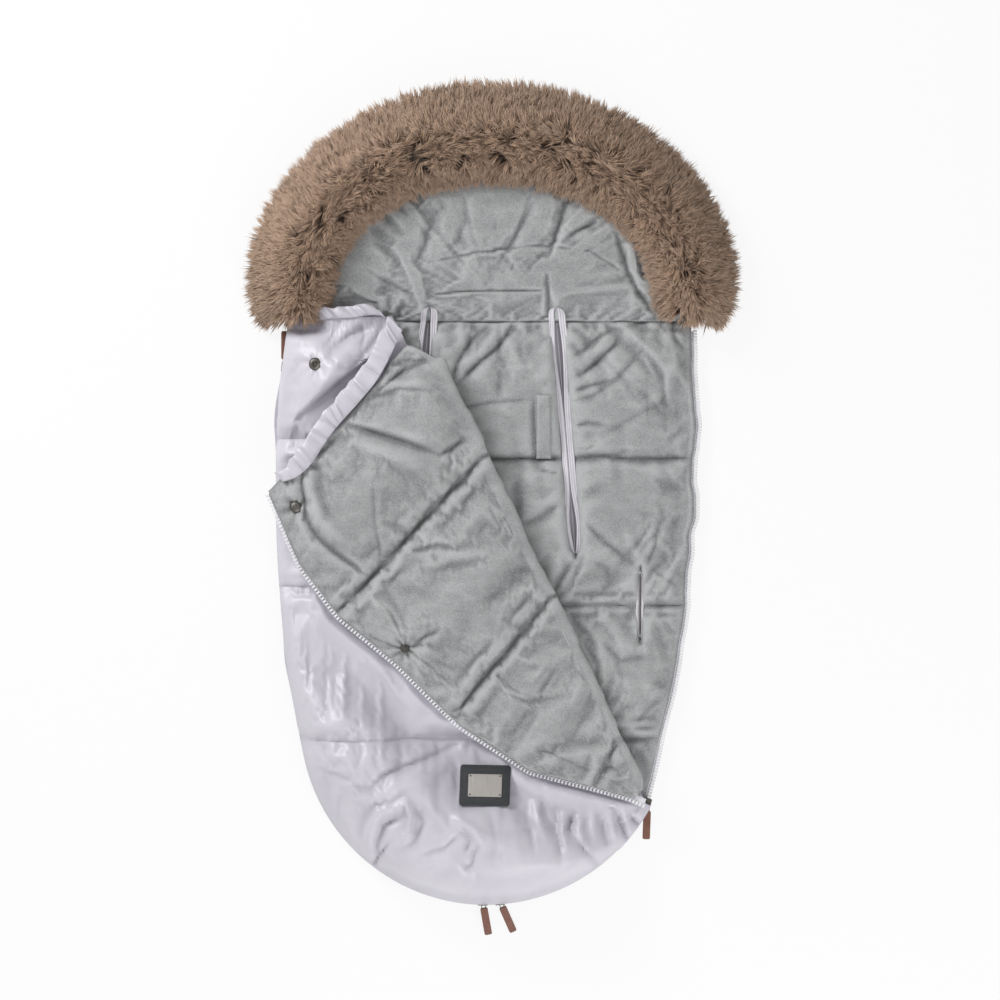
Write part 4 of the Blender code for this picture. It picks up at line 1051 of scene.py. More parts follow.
    def build(self) -> None:
        """Builds the plush and the cloth below it."""
        x, y, y_row = self.grid(self.rows)
        z = self.height(x, y)
        depth = OUTLINE.depth(x, y)
        x = waved(x, y)
        held = border(x.shape)
        for seam in BACK_SEAMS:
            held |= np.abs(y - seam) < self.seam_half
        start = np.stack([x, y, z], axis=-1)
        moved = self.settling.moves(start, held)
        inner = np.clip((depth - self.inset) / 0.02, 0, 1)[..., None]
        top = start + moved * inner * (0.25, 0.25, 1.0)
        detail = 1.35 * self.puckers(x, y)
        for fold in self.folds:
            detail += fold.height(x, y)
        for number, slot in enumerate(SLOTS[1:3]):
            near = np.maximum(np.abs(x - slot.centre(y)) - slot.half(y), 0)
            lean = y - 0.45 * (x - slot.centre(y))
            ends = smooth((slot.y_top - y) / 0.02) * smooth((y - slot.y_foot) / 0.02)
            reach = np.exp(-((near / 0.030) ** 2)) * ends
            detail += 0.0026 * drift(lean, near * 0.12, 0.0130, 50 + number) * reach
        detail += 0.0010 * drift(x, y, 0.022, 5) + 0.0011 * (ridged(x + 0.4 * y, y, 0.055, 6) - 0.35)
        top[..., 2] += detail * inner[..., 0]
        for slot in SLOTS:
            near = np.abs(x - slot.centre(y)) - slot.half(y)
            ends = smooth((slot.y_top + 0.012 - y) / 0.012) * smooth((y - slot.y_foot + 0.012) / 0.012)
            wide = 0.016 if slot.lipped else 0.012
            dip = ends * (1 - swell(near / wide)) ** 1.5
            top[..., 2] = mix(top[..., 2], self.binding_z, np.clip(dip, 0, 1))
        bottom = top.copy()
        under = mix(0.0094, 0.0030, smooth((depth - self.inset - 0.004) / 0.006))
        bottom[..., 2] = np.minimum(under, top[..., 2] - 0.0006)
        SURFACES["back"] = top
        keep, _ = self.openings(y_row)
        plush = sheet_mesh("back_plush", top, bottom, keep)
        dress(plush, PLUSH, Body.MAIN, ("back_lining", "back_padding"))
        self.cloth()

    def cloth(self) -> None:
        """The nylon under the back: a flat sheet with a rolled rim."""
        x, y, y_row = self.grid(120)
        depth = OUTLINE.depth(x, y) - self.inset
        x = waved(x, y)
        rise = 1 - swell(depth / 0.006)
        bottom = np.stack([x, y, 0.0035 * rise + 0.0003 * (1 + drift(x, y, 0.03, 8))], axis=-1)
        bottom[..., 2] = np.where(depth > 0.02, np.minimum(bottom[..., 2], 0.0006), bottom[..., 2])
        top = np.stack([x, y, mix(0.0072, 0.0027, smooth((depth - 0.003) / 0.006))], axis=-1)
        keep, placed = self.openings(y_row)
        for slot, place in placed:
            inside = slot.inside(y_row)
            centre = slot.centre(y_row)
            for points in (top, bottom):
                for column, apart in ((place, -0.0001), (place + 1, 0.0001)):
                    points[:, column, 0] = np.where(inside, centre + apart, points[:, column, 0])
        dress(sheet_mesh("back_cloth", top, bottom, keep), NYLON, Body.MAIN, ("back_shell",))


# The cover and its flap

ZIP_LINE = np.array((
    (-0.2639, 0.0224), (-0.2490, -0.0293), (-0.2168, -0.0742), (-0.1892, -0.1144), (-0.1604, -0.1420),
    (-0.1271, -0.1639), (-0.1018, -0.1961), (-0.0696, -0.2237), (-0.0420, -0.2513), (0.0052, -0.2777),
    (0.0293, -0.2984), (0.0742, -0.3203), (0.1328, -0.3329), (0.1700, -0.3380)))
FLAP_ENDS = np.array((
    (0.1575, -0.3352), (0.1156, -0.3237), (0.0397, -0.3042), (-0.0431, -0.2501), (-0.1121, -0.1811),
    (-0.1800, -0.1259), (-0.2248, -0.0661), (-0.2605, 0.0167)))
CREASE_SHARES = np.array((0.030, 0.149, 0.297, 0.437, 0.597, 0.752, 0.878, 0.985))
COVER_TOP_Y = 0.1905
COVER_EDGE_Y = 0.2205
COVER_CORNER = (
    (0.1700, -0.0740), (0.1800, -0.0900), (0.1905, -0.0990), (0.2007, -0.1035), (0.2215, -0.1156))
FLAP_MARGIN = 0.0105


def crease_height(y: Array) -> Array:
    """Height of the crease at y, along its straight line."""
    share = np.clip((y - CREASE_LOW[1]) / (CREASE_TOP[1] - CREASE_LOW[1]), 0, 1)
    return mix(CREASE_LOW[2], CREASE_TOP[2], share)


def along(points: Array, shares: Array) -> Array:
    """Points at shares of the count along a broken line."""
    spot = np.clip(shares, 0, 1) * (len(points) - 1)
    return read_off(spot, np.arange(len(points)), points)


def crease_at(v: Array) -> Array:
    """The crease's place, seen from above, at each share of the flap's rows."""
    share = np.interp(v * (len(CREASE_SHARES) - 1), np.arange(len(CREASE_SHARES)), CREASE_SHARES)
    return CREASE_LOW[:2] + (CREASE_TOP - CREASE_LOW)[:2] * share[:, None]


def hoodward(edge: Array) -> Array:
    """The direction square to an edge that points towards the hood."""
    out = unit(np.array((-edge[1], edge[0])))
    return out if out[1] > 0 else -out


def segment_distance(x: Array, y: Array, line: Array) -> tuple[Array, Array]:
    """How far points lie from a broken line, and the share of its length nearest to each.

    Args:
        x: The points.
        y: The points.
        line: The line's corners.

    Returns:
        The distance and the share.
    """
    best = np.full(x.shape, np.inf)
    at = np.zeros(x.shape)
    parts = np.linalg.norm(np.diff(line, axis=0), axis=1)
    done = np.r_[0, np.cumsum(parts)]
    for index, (a, b) in enumerate(zip(line, line[1:])):
        step = b - a
        t = np.clip(((x - a[0]) * step[0] + (y - a[1]) * step[1]) / (step @ step), 0, 1)
        away = np.hypot(x - a[0] - t * step[0], y - a[1] - t * step[1])
        near = away < best
        best = np.where(near, away, best)
        at = np.where(near, (done[index] + t * parts[index]) / done[-1], at)
    return best, at


def within(x: Array, y: Array, ring: Array) -> Array:
    """Whether points lie inside a closed line, by counting its crossings to one side.

    Args:
        x: The points.
        y: The points.
        ring: The line's corners, the first again at the end.

    Returns:
        True inside.
    """
    out = np.zeros(x.shape, bool)
    for a, b in zip(ring, ring[1:]):
        if a[1] == b[1]:
            continue
        crosses = ((a[1] > y) != (b[1] > y)) & (x < (b[0] - a[0]) * (y - a[1]) / (b[1] - a[1]) + a[0])
        out ^= crosses
    return out


@dataclass
class Cover:
    """The front cover that stays in place: lilac nylon, puffed between its seams, over a plush lining."""

    rows: int = 276
    cols: int = 176
    hem_reach: float = 0.0440
    edge_z: float = 0.0185
    edge_roll: float = 0.058
    foot_rise: float = 0.052
    corner_z: float = 0.036
    seam_dip: float = 0.0065
    seam_wide: float = 0.012
    fold_gain: float = 1.3
    stud: tuple[float, float] = (-0.2018, 0.1660)
    seams: tuple[float, ...] = (-0.2628, -0.0891, 0.0805)
    settling: Settling = Settling(118, 92, 0.045, 1.0, 0.010, bend=0.15)
    folds: tuple[Fold, ...] = (
        fold(-4.2, 2.2, 369, 868, 381, 852, 393, 836),
        fold(-6.0, 5.0, 377, 862, 379, 838, 386, 820, 406, 812),
        fold(4.6, 5.0, 370, 850, 371, 826, 381, 808, 398, 802),
        fold(5.6, 4.4, 392, 806, 408, 798, 413, 812, 411, 828, 400, 840),
        fold(-4.0, 4.4, 418, 800, 424, 818, 417, 834),
        fold(-4.2, 2.2, 599, 866, 586, 850, 574, 835),
        fold(-6.0, 3.4, 572, 812, 567, 826, 573, 834),
        fold(4.6, 4.4, 562, 812, 560, 828, 566, 844),
        fold(4.0, 4.4, 580, 812, 577, 826, 584, 842),
        fold(-4.6, 4.0, 540, 795, 546, 815, 557, 835, 560, 858),
        fold(4.0, 5.0, 532, 792, 537, 815, 546, 838),
        fold(-3.2, 3.6, 551, 800, 556, 818, 552, 834),
        fold(-5.2, 3.2, 616, 809, 619, 820, 625, 834, 631, 844),
        fold(3.4, 4.6, 609, 810, 611, 824, 617, 838),
        fold(-4.0, 2.6, 629, 814, 636, 821, 643, 827),
        fold(-3.4, 4.0, 600, 812, 602, 830, 606, 846),
        fold(3.0, 4.4, 590, 806, 592, 820, 590, 836),
        fold(-4.2, 4.0, 462, 823, 471, 835, 465, 848),
        fold(-4.4, 4.4, 478, 838, 472, 858, 461, 864),
        fold(4.4, 6.0, 452, 806, 462, 816, 476, 826, 482, 842),
        fold(-3.6, 4.6, 422, 850, 445, 843, 462, 827),
        fold(3.0, 6.0, 426, 862, 452, 856, 470, 868),
        fold(-3.0, 5.6, 490, 812, 496, 834, 494, 858),
        fold(3.0, 7.0, 506, 806, 516, 828, 518, 856),
        fold(-3.4, 4.4, 522, 800, 528, 824, 534, 850),
        fold(-4.6, 5.6, 373, 784, 385, 770, 411, 763, 445, 750, 462, 741),
        fold(4.0, 9.0, 378, 796, 400, 778, 432, 768, 456, 758),
        fold(-2.8, 10.0, 320, 768, 350, 776, 372, 790),
        fold(3.0, 12.0, 316, 352, 345, 385, 372, 372),
        fold(-4.4, 6.0, 340, 380, 362, 362, 378, 340, 384, 324),
        fold(4.0, 10.0, 318, 392, 336, 372, 352, 352),
        fold(3.0, 12.0, 352, 400, 330, 420, 300, 428),
        fold(-3.4, 5.6, 334, 352, 352, 336, 372, 330),
        fold(-3.0, 3.6, 360, 324, 366, 336, 362, 350),
    )

    def edges(self, y: Array) -> Array:
        """The cover's right edge: the foot circle, then the crease, then its top corner."""
        share = (y - CREASE_LOW[1]) / (CREASE_TOP[1] - CREASE_LOW[1])
        line = mix(CREASE_LOW[0], CREASE_TOP[0], share)
        above = np.interp(y, *np.transpose(COVER_CORNER))
        out = np.where(y < CREASE_LOW[1], OUTLINE.at(-0.0004).right(y), np.minimum(line, OUTLINE.right(y)))
        return np.where(y > COVER_CORNER[0][0], above, out)

    def left_depth(self, x: Array, y: Array) -> Array:
        """How far a point lies inside the left and foot edges; the open right side counts as far inside."""
        foot = OUTLINE.foot_r - np.hypot(x - OUTLINE.foot_x, y - OUTLINE.foot_y)
        low = OUTLINE.foot_point(OUTLINE.left_low)[1]
        open_side = 0.045 * smooth((y - CREASE_LOW[1]) / 0.045) * np.clip((x - OUTLINE.foot_x) / 0.045, 0, 1)
        side = OUTLINE.left_r - np.hypot(x - OUTLINE.left_c[0], y - OUTLINE.left_c[1])
        return np.where(y < low, foot + open_side, side)

    def height(self, x: Array, y: Array) -> Array:
        """The cloth's height: a rolled edge, then a plane that rises to the crease and over the toes."""
        zip_y, after, before = (np.interp(x + step, *ZIP_LINE.T) for step in (0.0, 0.02, -0.02))
        slope = after - before
        beyond = (zip_y - y) / np.hypot(1, slope / 0.04)
        foot = smooth((beyond - 0.018) / 0.070)
        inner = crease_height(y) + self.foot_rise * foot
        corner = np.minimum(inner, self.corner_z)
        inner = mix(corner, inner, smooth((0.2156 - y) / 0.045))
        rise = swell((self.left_depth(x, y) + 0.0006) / self.edge_roll) ** (1 + 0.8 * foot)
        under_fur = smooth((-0.183 - x) / 0.020) * smooth((y - 0.192) / 0.016)
        return mix(self.edge_z, inner, rise) - 0.0120 * under_fur * rise

    def grid(self) -> tuple[Array, Array]:
        """The cover's grid of points seen from above."""
        outline = OUTLINE.at(0.0006)
        y_row = mix(outline.corner(), COVER_EDGE_Y, np.linspace(0, 1, self.rows))
        right = self.edges(y_row)
        shares = np.linspace(0, 1, self.cols)
        shares = mix(shares, 0.5 - 0.5 * np.cos(np.pi * shares), 0.35)
        x = mix(outline.left(y_row)[:, None], right[:, None], shares[None])
        y = np.repeat(y_row[:, None], x.shape[1], axis=1)
        upper = 0.0045 * np.exp(-(((y - 0.1087) / 0.036) ** 2))
        lower = 0.0025 * np.exp(-(((y + 0.1760) / 0.030) ** 2))
        return x - (upper + lower) * smooth((-0.15 - x) / 0.06), outline.sag(x, y)

    def build(self) -> None:
        """Builds the outer cloth and the lining."""
        x, y = self.grid()
        z = self.height(x, y)
        for line in self.seams:
            fade = smooth((OUTLINE.foot_x - 0.02 - x) / 0.03 + 1) if line < -0.2 else np.ones_like(x)
            away = np.abs(y - line - 0.0012 * drift(x, y * 0, 0.03, 61))
            stitched = 0.0022 * np.exp(-((away / 0.0018) ** 2))
            z -= fade * (self.seam_dip * np.exp(-((away / self.seam_wide) ** 2)) + stitched)
            pleat = drift(x + 0.3 * (y - line) * drift(x, 0 * x, 0.1, 62), y * 0.1, 0.010, 63)
            z += 0.0022 * fade * pleat * np.exp(-((away / 0.022) ** 2))
        held = border(x.shape)
        for line in self.seams:
            held |= (np.abs(y - line) < 0.0022) & ((line > -0.2) | (x < OUTLINE.foot_x - 0.02))
        for fold in self.folds:
            z += self.fold_gain * fold.height(x, y)
        z += tuck(x, y, self.stud, 0.0034, 0.013, 7)
        start = np.stack([x, y, z], axis=-1)
        moved = self.settling.moves(start, held)
        depth = self.left_depth(x, y)
        inner = smooth((depth - 0.002) / 0.02)[..., None]
        top = start + moved * inner * (0.3, 0.3, 1.0)
        top[..., 2] += inner[..., 0] * (0.0009 * (ridged(x - 0.5 * y, 0.6 * y, 0.045, 71) - 0.3)
                                        + 0.0012 * drift(x, y, 0.05, 72))
        top[..., 2] = np.minimum(top[..., 2], self.ceiling(x, y))
        SURFACES["cover"] = top
        bottom = top.copy()
        overhang = np.where(depth < 0.0092, 0.0172, 0.0)
        under = np.minimum(top[..., 2] - 0.0022, mix(0.0100, 1.0, smooth((depth - 0.012) / 0.012)))
        bottom[..., 2] = np.maximum(np.minimum(under, top[..., 2] - 0.0008), overhang)
        cloth = sheet_mesh("cover_cloth", top, bottom)
        dress(cloth, NYLON, Body.MAIN, ("cover_shell", "cover_padding"))
        self.lining()

    def ceiling(self, x: Array, y: Array) -> Array:
        """Height that the cloth stays under: below the folded-back flap, and below the badge."""
        v = np.linspace(0, 1, 40)
        first, last = (np.array(end) for end in flap_top())
        hem = hoodward(last - first) * self.hem_reach
        ring = np.concatenate([crease_at(v), [first + hem, last + hem], along(FLAP_ENDS, v)[::-1]])
        ring = np.concatenate([ring, ring[:1]])
        away, _ = segment_distance(x, y, ring)
        under = within(x, y, ring)
        floor = coarse_layer("flap_shell", x, y, False, 4)
        slope = np.where(under, 0, away)
        limit = floor - 0.0016 + 1.6 * np.maximum(0, slope - 0.001)
        fit = plane_of(node_corners("badge_patch"))
        plane = x * fit[0] + y * fit[1] + fit[2] - 0.0022
        beyond = np.maximum(np.abs(x - BADGE_X) - 0.0275, np.abs(y - BADGE_Y) - 0.0225)
        return np.minimum(limit, plane + 1.2 * np.maximum(0, beyond))

    def lining(self) -> None:
        """The plush inside the cover, from the zip's tape to the crease."""
        cols, rows = 70, 110
        outline = OUTLINE.at(0.0095)
        y_row = mix(outline.corner(), COVER_TOP_Y - 0.0005, np.linspace(0, 1, rows))
        right = np.minimum(self.edges(y_row) - 0.0002, outline.right(y_row))
        x = mix(outline.left(y_row)[:, None], right[:, None], np.linspace(0, 1, cols)[None])
        y = np.repeat(y_row[:, None], cols, axis=1)
        y = outline.sag(x, y)
        near = rescaled(surface_height("cover", x[::3, ::3], y[::3, ::3], 0.004) - 0.0120, rows, cols)
        below = np.minimum(near, self.height(x, y) - 0.0165)
        z = np.maximum(np.minimum(layer_height("cover_lining", x, y, False, 0.008), below), 0.0092)
        wave = 0.0010 * drift(x, y, 0.03, 81)
        bottom = np.stack([x, y, z + wave - 0.0004], axis=-1)
        top = np.stack([x, y, z + 0.0030 + wave], axis=-1)
        dress(sheet_mesh("cover_inner", top, bottom), PLUSH, Body.MAIN, ("cover_lining",))


@dataclass
class Flap:
    """The folded-back flap: plush above, with a rolled crease, and nylon below."""

    rows: int = 300
    cols: int = 148
    roll: int = 14
    roll_bulge: float = 0.0090
    seam_dips: tuple[float, ...] = (0.0062, 0.0054, 0.0046)
    fold_gain: float = 1.45
    cap_stud: tuple[float, float] = (-0.2240, 0.0030)
    post_stud: tuple[float, float] = (-0.0995, -0.1581)
    settling: Settling = Settling(120, 76, 0.045, 1.2, 0.009)
    bow_shares: tuple[float, ...] = (0.0, 0.05, 0.16, 0.28, 0.51, 0.64, 0.77, 0.88, 1.0)
    bows: tuple[float, ...] = (0.0, 0.0330, 0.0290, 0.0185, 0.0095, 0.0070, 0.0095, 0.0040, 0.0)
    seams: tuple[tuple[tuple[float, float], ...], ...] = (
        ((492, 447), (475, 465), (437, 505), (404, 542), (370, 579), (336, 613)),
        ((563, 580), (541, 607), (512, 642), (482, 678), (455, 713)),
        ((616, 737), (604, 764), (593, 788)),
    )
    folds: tuple[Fold, ...] = (
        fold(-6.0, 4.2, 305, 470, 304, 482, 306, 494, 309, 518, 320, 536, 335, 550, 366, 574),
        fold(4.5, 8.5, 315, 462, 312, 490, 322, 520, 350, 545),
        fold(-6.0, 6.0, 355, 428, 380, 436, 410, 445, 440, 455),
        fold(-3.5, 5.0, 440, 456, 455, 446, 468, 438),
        fold(4.0, 10.0, 360, 440, 395, 458, 430, 468),
        fold(-3.0, 3.5, 375, 395, 405, 372, 435, 358),
        fold(-4.0, 4.5, 395, 366, 415, 362, 434, 362),
        fold(3.5, 9.0, 375, 380, 400, 388, 430, 384),
        fold(-2.2, 4.0, 370, 400, 400, 390, 430, 392),
        fold(-2.6, 5.0, 410, 552, 440, 545, 455, 548),
        fold(2.6, 8.0, 420, 566, 450, 556, 480, 552),
        fold(-1.2, 3.0, 375, 480, 376, 520, 382, 560),
        fold(-4.0, 6.0, 545, 748, 570, 760, 596, 772),
        fold(4.0, 9.0, 540, 765, 560, 752, 590, 752, 602, 768),
        fold(-3.4, 4.5, 600, 760, 617, 768, 632, 790),
        fold(-3.0, 4.0, 604, 776, 622, 782, 636, 796),
        fold(2.6, 14.0, 470, 600, 490, 640, 520, 660),
        fold(-2.2, 11.0, 500, 690, 530, 700, 560, 695),
        fold(-1.8, 2.2, 404, 640, 399, 625, 391, 610),
        fold(-1.8, 2.2, 412, 643, 424, 636, 438, 629),
        fold(-2.0, 2.6, 413, 652, 430, 664, 452, 684),
        fold(-1.4, 2.2, 411, 656, 420, 668, 430, 680),
        fold(-1.8, 2.2, 396, 645, 382, 640, 366, 633),
        fold(-1.6, 2.2, 400, 654, 395, 664, 389, 673),
    )

    def frame(self, v: Array) -> tuple[Array, Array]:
        """The crease's end and the zip's end of each row."""
        crease, end = crease_at(v), along(FLAP_ENDS, v)
        span = crease - end
        length = np.linalg.norm(span, axis=1, keepdims=True)
        margin = np.minimum(FLAP_MARGIN - 0.0040, length / 2)
        return crease, end + span / length * margin

    def build(self) -> None:
        """Builds the plush, with its roll at the crease, and the outer cloth."""
        v = np.linspace(0, 1, self.rows)
        crease, end = self.frame(v)
        u = np.linspace(0, 1, self.cols)
        flat = mix(crease[:, None, :], end[:, None, :], u[None, :, None])
        bow = np.interp(u, self.bow_shares, self.bows)
        bow = blurred(np.repeat(bow[:, None], 3, axis=1), 12)[:, 0] * np.sin(np.pi * np.clip(u * 30, 0, 0.5))
        bow = bow[None] * smooth((v[:, None] - 0.62) / 0.38)
        flat = flat + bow[..., None] * hoodward(end[-1] - crease[-1])
        x, y = flat[..., 0], flat[..., 1]
        base = blurred(layer_height("flap_lining", x[::4, ::4], y[::4, ::4], True, 0.010), 2)
        base = rescaled(base, self.rows, self.cols)
        ends = np.minimum(swell(v / 0.10), swell((1 - v) / 0.03))[:, None]
        sides = np.minimum(swell(u / 0.12), swell((1 - u) / 0.16))[None, :]
        puff = 0.0020 * ends * sides
        seam = np.zeros_like(x)
        for index, line in enumerate(self.seams):
            path = photo_line(line)
            away, at = segment_distance(x, y, path)
            deep = self.seam_dips[index] * (0.45 + 0.55 * smooth(4 * at * (1 - at)))
            crown = np.exp(-(((away - 0.0110) / 0.0080) ** 2))
            seam += deep * (np.exp(-(np.abs(away / 0.0040) ** 1.3)) - 0.80 * crown)
            length = np.linalg.norm(np.diff(path, axis=0), axis=1).sum()
            pleat = drift(at * length, away * 0.35, 0.011, 90 + index)
            puff += 0.0030 * pleat * np.exp(-((away / 0.020) ** 2)) * (away > 0.002)
        z = base + puff - seam + tuck(x, y, self.cap_stud, 0.006, 0.011, 6)
        z = z + tuck(x, y, self.post_stud, 0.0065, 0.014, 9)
        for fold in self.folds:
            z = z + self.fold_gain * fold.height(x, y) * sides
        start = np.stack([x, y, z], axis=-1)
        moved = self.settling.moves(start, border(x.shape) | (seam > 0.0025))
        top = start + moved * (sides * np.minimum(ends, 1))[..., None] * (0.4, 0.4, 1.0)
        creases = 0.0011 * (ridged(x + 0.7 * y, y, 0.05, 101) - 0.35)
        top[..., 2] += sides * (creases + 0.0010 * drift(x, y, 0.024, 102))
        top[..., 2] = np.maximum(top[..., 2], coarse_layer("flap_shell", x, y, True, 6) + 0.0035)
        SURFACES["flap"] = top
        bottom = top.copy()
        thick = mix(0.0026, 0.0042, sides)
        bottom[..., 2] = top[..., 2] - thick
        self.roll_over(top, bottom, crease, v)
        self.cloth(x, y, top, sides)

    def roll_over(self, top: Array, bottom: Array, crease: Array, v: Array) -> None:
        """Carries the plush round the crease to the cover's lining, as a rounded fold.

        Args:
            top: The flap's upper points.
            bottom: The lower ones.
            crease: The crease's place in each row.
            v: Each row's share of the way up.
        """
        line = unit((CREASE_TOP - CREASE_LOW)[:2])
        out = np.array((line[1], -line[0]))
        out = out if out[0] > 0 else -out
        peak = top[:, 0, 2]
        low = crease_height(crease[:, 1]) - 0.0086
        middle, half = (peak + low) / 2, (peak - low) / 2
        uneven = 0.0022 * drift(v * 0.6, 0 * v, 0.035, 110) + 0.0012 * drift(v * 0.6, 0 * v, 0.012, 111)
        bulge = self.roll_bulge + uneven
        bulge = bulge * np.minimum(swell(v / 0.05), swell((1 - v) / 0.02)) + 0.001
        angles = np.linspace(-np.pi / 2, np.pi / 2, self.roll, endpoint=False)
        reach = bulge[:, None] * np.cos(angles)[None]
        roll_xy = crease[:, None, :] + reach[..., None] * out
        roll_z = middle[:, None] + half[:, None] * np.sin(angles)[None]
        outer = np.concatenate([np.concatenate([roll_xy, roll_z[..., None]], axis=-1), top], axis=1)
        inner_xy = crease[:, None, :] + (np.maximum(reach - 0.003, 0.0))[..., None] * out
        inner_z = middle[:, None] + np.maximum(half - 0.003, 0.001)[:, None] * np.sin(angles)[None]
        inner = np.concatenate([np.concatenate([inner_xy, inner_z[..., None]], axis=-1), bottom], axis=1)
        ease = outer.copy()
        smoothed = blurred(outer, 3)
        edge = self.roll
        ease[:, edge - 3:edge + 4] = smoothed[:, edge - 3:edge + 4]
        plush = sheet_mesh("flap_plush", ease, inner)
        plush.data.materials.append(PLUSH.material())
        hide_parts("flap_lining", "flap_padding")
        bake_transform(plush)
        LOG.info("%s: %d faces", plush.name, len(plush.data.polygons))

    def cloth(self, x: Array, y: Array, top: Array, sides: Array) -> None:
        """The flap's outer cloth, which lies underneath while it is folded back."""
        low = coarse_layer("flap_shell", x, y, False, 6) + 0.0006 * (1 + drift(x, y, 0.02, 120))
        bottom = np.stack([x, y, low], axis=-1)
        upper = np.stack([x, y, np.minimum(low + 0.002, top[..., 2] - 0.0052)], axis=-1)
        upper[..., 2] = np.maximum(upper[..., 2], low + 0.0008)
        dress(sheet_mesh("flap_cloth", upper[::2, ::2], bottom[::2, ::2]), NYLON, Body.FLAP,
              ("flap_shell",))


def flap_top() -> tuple[tuple[float, float], tuple[float, float]]:
    """Both ends of the flap's top edge, from the crease to the zip."""
    share = CREASE_SHARES[-1]
    crease = CREASE_LOW[:2] + (CREASE_TOP - CREASE_LOW)[:2] * share
    end = FLAP_ENDS[-1] + unit(crease - FLAP_ENDS[-1]) * FLAP_MARGIN
    return tuple(crease), tuple(end)


def cover_line() -> Array:
    """The line along the top of the cover that its hem is sewn to."""
    spots = ((314, 323), (333, 319.5), (350, 319), (365, 317), (377, 316.5), (385, 318.5), (389, 322.5),
             (389.5, 328))
    x, y = photo_line(curve_through(spots, np.linspace(0, 1, 60))).T
    return np.stack([x, y, surface_height("cover", x, np.minimum(y, COVER_EDGE_Y), 0.003)], axis=-1)


def flap_line() -> Array:
    """The line along the top of the folded-back flap that its hem is sewn to."""
    spots = ((403, 332), (392, 356), (379, 380), (363, 400), (346, 419), (334, 433), (325, 446), (317, 459),
             (308, 470), (297, 478), (285, 482))
    x, y = photo_line(curve_through(spots, np.linspace(0, 1, 120))).T
    z = surface_height("flap", x, y, 0.004) + 0.0022
    return np.stack([x, y, blurred(np.repeat(z[:, None], 3, axis=1), 20)[:, 0]], axis=-1)


@dataclass
class Hem:
    """A gathered nylon hem with elastic in it, along a path."""

    name: str
    body: Body
    path: Array
    wide: float
    node: str
    elastic: str
    side: float
    seed: int

    def build(self) -> None:
        """Builds the hem as a flat tube with cross-wise gathers."""
        rows, cols = 340, 34
        base = resampled(self.path[:, None, :].repeat(2, axis=1), rows, 2)[:, 0]
        lengths = np.r_[0, np.cumsum(np.linalg.norm(np.diff(base[:, :2], axis=0), axis=1))]
        step = unit(blurred(np.gradient(base[:, :2], axis=0), 12))
        out = np.stack([step[:, 1], -step[:, 0]], axis=-1) * self.side
        t = np.linspace(0, 1, cols)[None, :]
        run = lengths[:, None] + 0 * t
        slant = run + 0.012 * (t - 0.5) * drift(run, 0 * run, 0.022, self.seed)
        gather = ridged(slant, t * 0.0045, 0.0085, self.seed + 1)
        crumple = ridged(slant, t * 0.0080, 0.0150, self.seed + 3)
        small = drift(slant * 1.2, t * 0.006, 0.0050, self.seed + 5)
        scallop = 0.0022 * drift(run, 0 * run, 0.0075, self.seed + 4) * t
        taper = 1 - 0.40 * smooth((lengths / lengths[-1] - 0.84) / 0.16)[:, None]
        xy = base[:, None, :2] + out[:, None] * (t * self.wide * taper + scallop)[..., None]
        x, y = xy[..., 0], xy[..., 1]
        level = base[:, 2:3] - 0.0030 * t
        puff = np.sin(np.pi * np.clip(t * 0.96 + 0.02, 0, 1)) ** 0.4
        rise = 0.0026 + 0.0042 * gather + 0.0034 * crumple + 0.0008 * small
        z = level + rise * (0.25 + 0.75 * puff)
        top = np.stack([x, y, z], axis=-1)
        bottom = np.stack([x, y, np.minimum(level - 0.0022, z - 0.0006)], axis=-1)
        dress(sheet_mesh(self.name, top, bottom), NYLON, self.body, (self.node, self.elastic))


